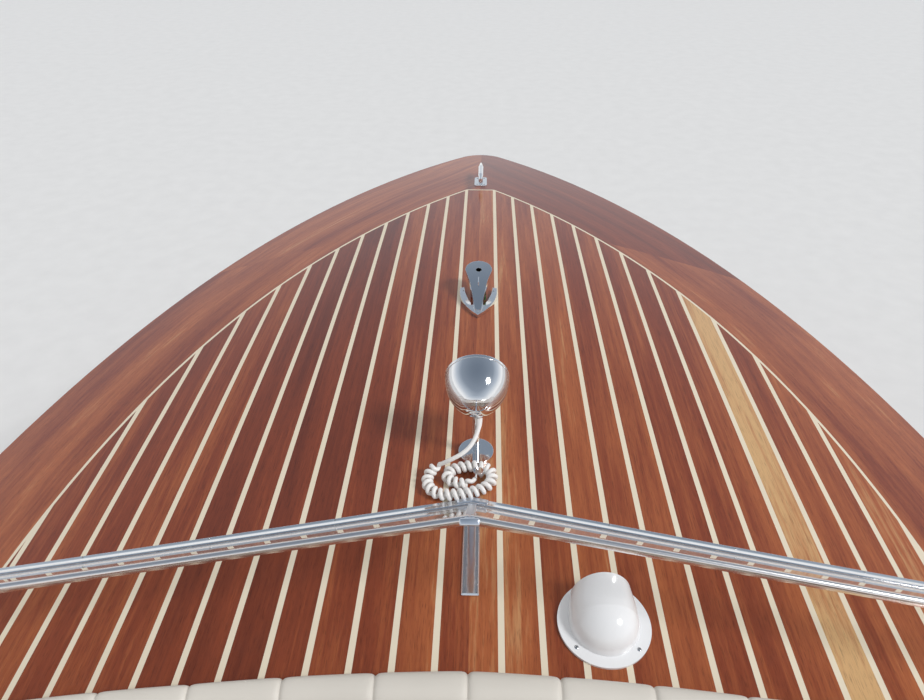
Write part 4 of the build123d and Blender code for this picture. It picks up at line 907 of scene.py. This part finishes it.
pad(
    "sun_pad_padding",
    "sun_pad",
    "hatch",
    [
        (0.0, 0.0006, 0.012),
        (0.0, PAD_HIGH, 0.036),
        (PAD_LONG, PAD_HIGH, 0.036),
        (PAD_LONG, 0.0006, 0.012),
    ],
    sun_pad_place,
    PAD_WIDE,
    8,
    lambda a, b: b < 0.002,
    step=0.019,
    along=0.017,
)
puff_up()
for piece, _ in soft_pieces:
    smooth(piece)

# ---------------------------------------------------------------- fasteners and trim
def settle(piece, material, body="boat", angle=0.6):
    """A finished piece: shaded smooth with its sharp edges kept, and riding on a body."""
    finish(piece, material)
    piece.data.shade_smooth()
    piece.data.set_sharp_from_angle(angle=angle)
    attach(piece, body)
    return piece


def turned(data, profile, matrix=Matrix(), segments=24):
    """Adds a solid of revolution about z. profile is (radius, height) from the axis to the axis."""
    rings = []
    for radius, height in profile:
        if radius == 0:
            rings.append([data.verts.new(matrix @ Vector((0, 0, height)))])
            continue
        angles = [2 * math.pi * n / segments for n in range(segments)]
        points = [Vector((radius * math.cos(t), radius * math.sin(t), height)) for t in angles]
        rings.append([data.verts.new(matrix @ point) for point in points])
    for low, high in zip(rings, rings[1:]):
        for number in range(segments):
            after = (number + 1) % segments
            corners = {low[number % len(low)]: 0, low[after % len(low)]: 0}
            corners.update({high[after % len(high)]: 0, high[number % len(high)]: 0})
            data.faces.new(list(corners))


def rounded_box(data, size, matrix, bevel, segments=3):
    """Adds a box with rounded edges."""
    made = bmesh.ops.create_cube(data, size=1.0, matrix=matrix @ Matrix.Diagonal((*size, 1.0)))
    edges = {edge for vertex in made["verts"] for edge in vertex.link_edges}
    bmesh.ops.bevel(
        data, geom=list(edges), offset=bevel, segments=segments, profile=0.5, affect="EDGES"
    )


def cross_head():
    """One domed screw head of unit radius with a cross slot cut in it."""
    data = bmesh.new()
    turned(data, [(0, -0.2), (1, -0.2), (1, 0.06), (0.86, 0.22), (0.5, 0.34), (0, 0.38)])
    head = from_bmesh("head", data)
    data = bmesh.new()
    for size in ((1.2, 0.26, 0.5), (0.26, 1.2, 0.5)):
        bmesh.ops.create_cube(
            data, size=1.0, matrix=Matrix.Translation((0, 0, 0.34)) @ Matrix.Diagonal((*size, 1.0))
        )
    slots = from_bmesh("slots", data)
    cut = head.modifiers.new("slot", "BOOLEAN")
    cut.object = slots
    cut.operation = "DIFFERENCE"
    cut.solver = "EXACT"
    cut.use_self = True
    graph = bpy.context.evaluated_depsgraph_get()
    mesh = bpy.data.meshes.new_from_object(head.evaluated_get(graph))
    bpy.data.objects.remove(head)
    bpy.data.objects.remove(slots)
    return mesh


HEAD = cross_head()


def screws(name, radius, places):
    """Several screw heads on the boat as one piece."""
    data = bmesh.new()
    for number, place in enumerate(places):
        start = len(data.verts)
        data.from_mesh(HEAD)
        data.verts.ensure_lookup_table()
        turn = Matrix.Rotation(0.9 * number, 4, "Z")
        bmesh.ops.transform(
            data, matrix=place @ turn @ Matrix.Scale(radius, 4), verts=data.verts[start:]
        )
    settle(from_bmesh(name, data), screw_steel)


def frame_of(origin, across, forward, up):
    """A matrix with those three unit axes."""
    return Matrix.Translation(origin) @ Matrix((across, forward, up)).transposed().to_4x4()


def raised(x, y, rise, around=0.0, reach=0.0):
    """A frame on a fitting: a place on the deck, then a reach at an angle in its plane, then up."""
    turn = math.radians(around)
    across = Matrix.Translation((reach * math.cos(turn), reach * math.sin(turn), rise))
    return deck_frame(x, y) @ across


# Windshield: its plane, the foot of the pane and the pane's top edge
SHIELD_Y = 1.149
SWEEP = math.radians(13.0)
RAKE = math.radians(45.0)
TOP_SLANT = 0.33
TOP_FALL = 0.1715
PANE_END = 1.0
shield_origin = Vector((0, SHIELD_Y, deck_height(SHIELD_Y)))
along_pane = Vector((math.cos(SWEEP), -math.sin(SWEEP), 0))
up_pane = Vector(
    (-math.sin(SWEEP) * math.sin(RAKE), -math.cos(SWEEP) * math.sin(RAKE), math.cos(RAKE))
)
off_pane = along_pane.cross(up_pane)


def pane_foot(reach):
    """The point where the pane's plane meets the deck."""
    point = shield_origin + along_pane * reach
    for _ in range(12):
        point += up_pane * ((deck_z(point.x, point.y) - point.z) / math.cos(RAKE))
    return point


FLANGE_MIDDLE = 0.0132
FLANGE_HIGH = 0.003


def flange_place(side, reach):
    """A frame on the flange ahead of the pane."""
    foot = pane_foot(reach)
    return deck_frame(side * foot.x, foot.y + FLANGE_MIDDLE) @ Matrix.Translation(
        (0, 0, FLANGE_HIGH)
    )


screw_steel = polished("screw_steel", tint=(0.70, 0.71, 0.72), rough=0.2, wear=0.1)
FLANGE_SCREWS = (0.255, 0.48, 0.705, 0.93)
screws("flange_screws", 0.0024, [flange_place(s, r) for s in (-1, 1) for r in FLANGE_SCREWS])
# A fitting's x, y and thickness, its screws' reach from the middle and their angles
for name, radius, (x, y, rise), reach, angles in (
    ("cowl_screws", 0.0036, (0.215, 0.917, 0.004), 0.065, (130.7, -138.0, -41.0)),
    ("bow_light_screws", 0.003, (0.002, 1.87, 0.011), 0.0535, (39.0, 141.0)),
    ("searchlight_screws", 0.003, (0.005, 1.284, 0.009), 0.027, (90, 210, 330)),
):
    screws(name, radius, [raised(x, y, rise, turn, reach) for turn in angles])
# x, y and the screws' reach forward and aft
CLEATS = [(0.0, 2.777, 0.034), (0.8, -2.88, 0.026), (-0.8, -2.88, 0.026)]
CLEAT_FOOT = 0.005
corners = [(x, y) for x in (-0.013, 0.013) for y in (-1, 1)]
screws(
    "cleat_screws",
    0.0032,
    [
        deck_frame(x, y) @ Matrix.Translation((a, b * reach, CLEAT_FOOT))
        for x, y, reach in CLEATS
        for a, b in corners
    ],
)

# Rounded rail over each pane's top edge
RAIL_HALF = 0.007
RAIL_LOW = -0.014
RAIL_TOP_RADIUS = 0.005
GLASS_HALF = 0.00305
RAIL_RINGS = 9


def rail_point(side, reach, off, up):
    """A point of the rail's section; at the middle it ends on the centreline."""
    rise = TOP_SLANT - TOP_FALL * reach + up
    if reach == 0:
        lean = rise * math.sin(RAKE) + off * math.cos(RAKE)
        reach = lean * math.sin(SWEEP) / math.cos(SWEEP)
        rise = TOP_SLANT - TOP_FALL * reach + up
    point = shield_origin + along_pane * reach + up_pane * rise + off_pane * off
    return Vector((side * point.x, point.y, point.z))


rail_section = [(RAIL_HALF, RAIL_LOW), (RAIL_HALF, -0.0058), (0.0065, -0.0045)]
for number in range(13):
    turn = math.radians(36 + 144 * number / 12)
    rail_section.append(
        (RAIL_TOP_RADIUS * math.cos(turn) - 0.002, RAIL_TOP_RADIUS * math.sin(turn) + 0.0004)
    )
rail_section += [
    (-RAIL_HALF, RAIL_LOW),
    (-GLASS_HALF, RAIL_LOW),
    (-GLASS_HALF, 0.00005),
    (GLASS_HALF, 0.00005),
    (GLASS_HALF, RAIL_LOW),
]
data = bmesh.new()
for side in (-1, 1):
    rings = []
    for number in range(RAIL_RINGS):
        reach = PANE_END * number / (RAIL_RINGS - 1)
        rings.append([data.verts.new(rail_point(side, reach, *p)) for p in rail_section])
    sweep(data, rings)
rail = settle(
    from_bmesh("rounded_rail", data),
    polished("rail_steel", tint=(0.90, 0.855, 0.825), rough=0.24, wear=0.1),
)
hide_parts("windshield_rail")

# Flange and channel that hold the pane's foot. A point is (forward, up) from the foot, square to
# the pane's line; a low point stands on the deck and the others keep to the pane's slope
LOW_POINT = 0.004
FORWARD = Vector((math.sin(SWEEP), math.cos(SWEEP), 0))
CHANNEL_FRONT = [
    (0.0156, 0.0002),
    (0.0166, 0.0008),
    (0.0167, 0.0022),
    (0.0158, 0.003),
    (0.0108, 0.0032),
    (0.0088, 0.0036),
    (0.0002, 0.0086),
    (-0.0010, 0.0090),
    (-0.0022, 0.0087),
    (-0.0034, 0.0082),
    (-0.0034, 0.0078),
    (0.0041, 0.0002),
]
CHANNEL_BACK = [
    (-0.0045, 0.0002),
    (-0.0106, 0.0063),
    (-0.0114, 0.0062),
    (-0.0121, 0.0053),
    (-0.0121, 0.0042),
    (-0.0082, 0.0002),
]
CHEVRON = [
    (0.0168, 0.0004),
    (0.0178, 0.0012),
    (0.0178, 0.0036),
    (0.0166, 0.0052),
    (0.0148, 0.0062),
    (0.0124, 0.0066),
    (0.0092, 0.0066),
    (0.0052, 0.0088),
    (0.0040, 0.0080),
    (0.0040, 0.0004),
]
CHEVRON_END = 0.027


def foot_point(side, reach, forward, up):
    """A point of a section at the pane's foot; at the middle it ends on the centreline."""
    if reach == 0:
        reach = -forward * math.tan(SWEEP)
    foot = pane_foot(reach)
    point = foot + FORWARD * forward
    height = deck_z(point.x, point.y) if up < LOW_POINT else foot.z
    return Vector((side * point.x, point.y, height + up))


def along_the_foot(data, section, reaches):
    """Sweeps a section along both sides, from the middle outwards."""
    for side in (-1, 1):
        sweep(
            data, [[data.verts.new(foot_point(side, r, *p)) for p in section] for r in reaches]
        )


data = bmesh.new()
CHANNEL_STEPS = 24
reaches = [PANE_END * n / CHANNEL_STEPS for n in range(CHANNEL_STEPS + 1)]
along_the_foot(data, CHANNEL_FRONT, reaches)
along_the_foot(data, CHANNEL_BACK, reaches)
channel = settle(from_bmesh("pane_channel", data), FINISHES["windshield_base"])
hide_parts("windshield_base")

# Centre post with its head, and the chevron over the corner of the two flanges
STARBOARD = Vector((1, 0, 0))
centre_lean = up_pane.y + along_pane.y * math.sin(RAKE) * math.tan(SWEEP)
centre_up = Vector((0, centre_lean, up_pane.z)).normalized()
centre_back = STARBOARD.cross(centre_up)
post_frame = frame_of(shield_origin, STARBOARD, centre_back, centre_up)
# Size, the middle's place in the post's own frame, rounding and its steps
POST = ((0.016, 0.011, 0.322), (0, 0.0012, 0.173), 0.0025, 3)
HEAD_CAP = ((0.029, 0.0105, 0.017), (0, 0.0024, 0.3295), 0.003, 4)
data = bmesh.new()
for size, middle, bevel, segments in (POST, HEAD_CAP):
    rounded_box(data, size, post_frame @ Matrix.Translation(middle), bevel, segments)
along_the_foot(data, CHEVRON, [0.0, CHEVRON_END / 2, CHEVRON_END])
post = settle(
    from_bmesh("corner_post", data),
    polished("post_steel", tint=(0.80, 0.84, 0.90), rough=0.3, wear=0.1),
)
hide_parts("windshield_post")

# Strap down the king plank, with chamfered edges and ends
STRAP_HALF = 0.015
STRAP_RISE = 0.0048
STRAP_CHAMFER = 0.0022
STRAP_END_SHARE = 0.4
STRAP_EDGE_SHARE = 0.45
STRAP_LIFT = 0.0003
STRAP_ENDS = (0.9592, 1.1335)
data = bmesh.new()
rings = []
back_y, front_y = STRAP_ENDS
# Along the strap, with the share of its height there
places = [(back_y, STRAP_END_SHARE), (back_y + STRAP_CHAMFER, 1.0)]
places += [(back_y + (front_y - back_y) * n / 8, 1.0) for n in range(1, 8)]
places += [(front_y - STRAP_CHAMFER, 1.0), (front_y, STRAP_END_SHARE)]
for y, share in places:
    edge = STRAP_CHAMFER * (1 - share) * 0.8
    points = [
        (-STRAP_HALF + edge, STRAP_LIFT),
        (-STRAP_HALF + edge, STRAP_RISE * STRAP_EDGE_SHARE),
        (-STRAP_HALF + STRAP_CHAMFER + edge, STRAP_RISE * share),
        (STRAP_HALF - STRAP_CHAMFER - edge, STRAP_RISE * share),
        (STRAP_HALF - edge, STRAP_RISE * STRAP_EDGE_SHARE),
        (STRAP_HALF - edge, STRAP_LIFT),
    ]
    rings.append([data.verts.new((x, y, deck_z(x, y) + up)) for x, up in points])
sweep(data, rings)
strap = settle(from_bmesh("king_plank_strap", data), steel, angle=0.3)
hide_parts("deck_strap")

# Gauge scales and needles on the dashboard
DASH_CENTRE = Vector((0, 0.697, 0.6775))
dash_up = Vector((0, 0.05, 0.275)).normalized()
dash_out = STARBOARD.cross(dash_up)
dash_frame = frame_of(DASH_CENTRE, STARBOARD, dash_up, dash_out)
DIAL_RISE = 0.007
TICKS = 21
SCALE_START = 225
SCALE_TURN = 270
LONG_TICK = (0.16, 0.0011)
SHORT_TICK = (0.09, 0.0007)
NEEDLE = ((-0.2, -0.0012), (0.75, 0), (-0.2, 0.0012))
NEEDLE_RISE = 0.002
# across, down, radius, and where the needle stands on its scale
GAUGES = [
    (0.27, 0.015, 0.045, 0.02),
    (0.53, 0.015, 0.045, 0.02),
    (0.02, 0.03, 0.028, 0.5),
    (-0.07, 0.03, 0.028, 0.65),
    (0.11, 0.03, 0.028, 0.1),
]
data = bmesh.new()
for across, down, radius, reading in GAUGES:
    centre = dash_frame @ Matrix.Translation((across, -down, DIAL_RISE))
    reach = radius - 0.006
    for number in range(TICKS):
        turn = math.radians(SCALE_START - SCALE_TURN * number / (TICKS - 1))
        share, width = LONG_TICK if number % 5 == 0 else SHORT_TICK
        middle = Matrix.Translation((reach * (0.9 - share / 2), 0, 0.0002))
        size = Matrix.Diagonal((reach * share, width, 0.0005, 1))
        spoke = centre @ Matrix.Rotation(turn, 4, "Z")
        bmesh.ops.create_cube(data, size=1.0, matrix=spoke @ middle @ size)
    needle = centre @ Matrix.Rotation(math.radians(SCALE_START - SCALE_TURN * reading), 4, "Z")
    base = [needle @ Vector((along * reach, width, NEEDLE_RISE)) for along, width in NEEDLE]
    top = [p + dash_out * 0.0008 for p in base]
    low, high = [data.verts.new(p) for p in base], [data.verts.new(p) for p in top]
    data.faces.new(low[::-1])
    data.faces.new(high)
    for number in range(3):
        after = (number + 1) % 3
        data.faces.new((low[number], low[after], high[after], high[number]))
    turned(data, [(0, 0), (0.004, 0), (0.004, 0.0035), (0.0025, 0.0042), (0, 0.0042)], centre, 16)
dial_marks = moulded("dial_marks", (0.86, 0.85, 0.80), rough=0.4)
settle(from_bmesh("gauge_marks", data), dial_marks)

# Engine: rocker covers, a manifold, an air cleaner and pulleys on the plain block
ENGINE_TOP = 0.46
ENGINE_Y = -2.19
COVER_X = 0.165
COVER_SINK = 0.005
COVER_LEAN = 0.5
data = bmesh.new()
for side in (-1, 1):
    bank = Matrix.Translation((side * COVER_X, ENGINE_Y, ENGINE_TOP - COVER_SINK))
    lean = bank @ Matrix.Rotation(side * COVER_LEAN, 4, "Y")
    rounded_box(data, (0.13, 0.58, 0.075), lean, 0.018, 4)
    for number in range(9):
        rib = lean @ Matrix.Translation((0, -0.24 + 0.06 * number, 0.038))
        rounded_box(data, (0.09, 0.012, 0.012), rib, 0.004, 2)
    turned(
        data,
        [(0, 0.03), (0.024, 0.03), (0.026, 0.034), (0.026, 0.055), (0.02, 0.062), (0, 0.062)],
        lean @ Matrix.Translation((0, 0.2, 0)),
    )
cover_enamel = moulded("cover_enamel", (0.42, 0.05, 0.035), rough=0.3, Coat_Weight=0.4)
settle(from_bmesh("engine_rocker_covers", data), cover_enamel)
data = bmesh.new()
manifold = Matrix.Translation((0, ENGINE_Y, ENGINE_TOP + 0.028))
rounded_box(data, (0.16, 0.5, 0.06), manifold, 0.015, 3)
stack = Matrix.Translation((0, ENGINE_Y + 0.03, ENGINE_TOP + 0.055))
turned(
    data,
    [(0, 0), (0.05, 0), (0.05, 0.02), (0.115, 0.022), (0.12, 0.028)]
    + [(0.113 if n % 2 else 0.118, 0.032 + 0.006 * n) for n in range(7)]
    + [(0.12, 0.076), (0.115, 0.082), (0.02, 0.088), (0.016, 0.098), (0, 0.1)],
    stack,
    40,
)
# across, height, radius
PULLEYS = [(0.0, 0.10, 0.085), (0.15, 0.22, 0.05), (-0.15, 0.27, 0.055)]
PULLEY_AHEAD = 0.38
GROOVE_DEEP = 0.01
for across, height, radius in PULLEYS:
    spot = Matrix.Translation((across, ENGINE_Y + PULLEY_AHEAD, height))
    rim = [(radius, 0), (radius, 0.006), (radius - GROOVE_DEEP, 0.012)]
    rim += [(radius, 0.018), (radius, 0.024)]
    web = [(0.6 * radius, 0.024), (0.5 * radius, 0.018)]
    hub = [(0.016, 0.018), (0.014, 0.034), (0, 0.036)]
    turned(
        data,
        [(0, 0), *rim, *web, *hub],
        spot @ Matrix.Rotation(-math.pi / 2, 4, "X"),
        36,
    )
settle(from_bmesh("engine_castings", data), satin_steel)


# ---------------------------------------------------------------- floor, light and camera
FLOOR_REACH = 40.0
data = bpy.data.meshes.new("floor")
corners = ((-1, -1), (1, -1), (1, 1), (-1, 1))
data.from_pydata([(x * FLOOR_REACH, y * FLOOR_REACH, 0.0) for x, y in corners], [], [(0, 1, 2, 3)])
floor = in_scene("floor", data)
finish(floor, moulded("floor_paint", (0.86, 0.865, 0.87), rough=0.7, speckle=20.0))

WORLD_LIGHT = 0.55
ZENITH = [
    (0.0, (1.0, 1.0, 1.0)),
    (0.08, (0.93, 0.95, 0.97)),
    (0.34, (0.52, 0.58, 0.66)),
    (0.6, (0.27, 0.32, 0.39)),
    (1.0, (0.17, 0.21, 0.27)),
]
world = bpy.data.worlds.new("studio")
bpy.context.scene.world = world
world.use_nodes = True
sky = world.node_tree
background = sky.nodes["Background"]
link = sky.links.new
path = sky.nodes.new("ShaderNodeLightPath")
mirrored = sky.nodes.new("ShaderNodeMath")
seen = sky.nodes.new("ShaderNodeMath")
mirrored.operation = seen.operation = "MAXIMUM"
link(path.outputs["Is Glossy Ray"], mirrored.inputs[0])
link(path.outputs["Is Transmission Ray"], mirrored.inputs[1])
link(mirrored.outputs[0], seen.inputs[0])
link(path.outputs["Is Camera Ray"], seen.inputs[1])
strength = sky.nodes.new("ShaderNodeMapRange")
strength.inputs["To Min"].default_value = WORLD_LIGHT
strength.inputs["To Max"].default_value = 1.0
link(seen.outputs[0], strength.inputs["Value"])
link(strength.outputs[0], background.inputs["Strength"])
# Metal, varnish and glass mirror a pale horizon under a greyer, darker zenith
direction = sky.nodes.new("ShaderNodeTexCoord")
height = sky.nodes.new("ShaderNodeSeparateXYZ")
zenith = sky.nodes.new("ShaderNodeValToRGB")
fill_ramp(zenith.color_ramp, ZENITH)
tint = sky.nodes.new("ShaderNodeMix")
tint.data_type = "RGBA"
tint.inputs[6].default_value = (1.0, 1.0, 1.0, 1.0)
link(direction.outputs["Generated"], height.inputs[0])
link(height.outputs[2], zenith.inputs["Fac"])
link(mirrored.outputs[0], tint.inputs[0])
link(zenith.outputs["Color"], tint.inputs[7])
link(tint.outputs[2], background.inputs["Color"])


def sun(name, azimuth, elevation, strength, softness):
    """A lamp far away. Azimuth 0 is light that comes from aft, 90 from starboard."""
    data = bpy.data.lights.new(name, "SUN")
    data.energy = strength
    data.angle = math.radians(softness)
    lamp = in_scene(name, data)
    turn, lift = math.radians(azimuth), math.radians(elevation)
    level = Vector((math.sin(turn), -math.cos(turn), 0)) * math.cos(lift)
    towards = level + Vector((0, 0, math.sin(lift)))
    lamp.rotation_euler = towards.to_track_quat("Z", "Y").to_euler()


sun("key", 65.0, 42.0, 1.7, 14.0)

# The camera fitted to the photograph's plank seams
CAMERA_RIGHT = Vector((0.999808, 0.018884, 0.005222))
CAMERA_UP = Vector((-0.015182, 0.578260, 0.815714))
CAMERA_PLACE = Vector((0.01314, 0.26233, 1.86123))
FOCAL_PIXELS = 690.0
FRAME_WIDTH = 924.0
FRAME_HEIGHT = 700.0
CENTRE = (473.0, 354.5)
lens = bpy.data.cameras.new("photo_view")
lens.sensor_width = 36.0
lens.lens = FOCAL_PIXELS / FRAME_WIDTH * lens.sensor_width
lens.shift_x = (FRAME_WIDTH / 2 - CENTRE[0]) / FRAME_WIDTH
lens.shift_y = (CENTRE[1] - FRAME_HEIGHT / 2) / FRAME_WIDTH
lens.clip_start = 0.02
camera = in_scene("photo_view", lens)
back = CAMERA_RIGHT.cross(CAMERA_UP)
camera.matrix_world = frame_of(CAMERA_PLACE, CAMERA_RIGHT, CAMERA_UP, back)
bpy.context.scene.camera = camera
bpy.context.scene.view_settings.view_transform = "Standard"
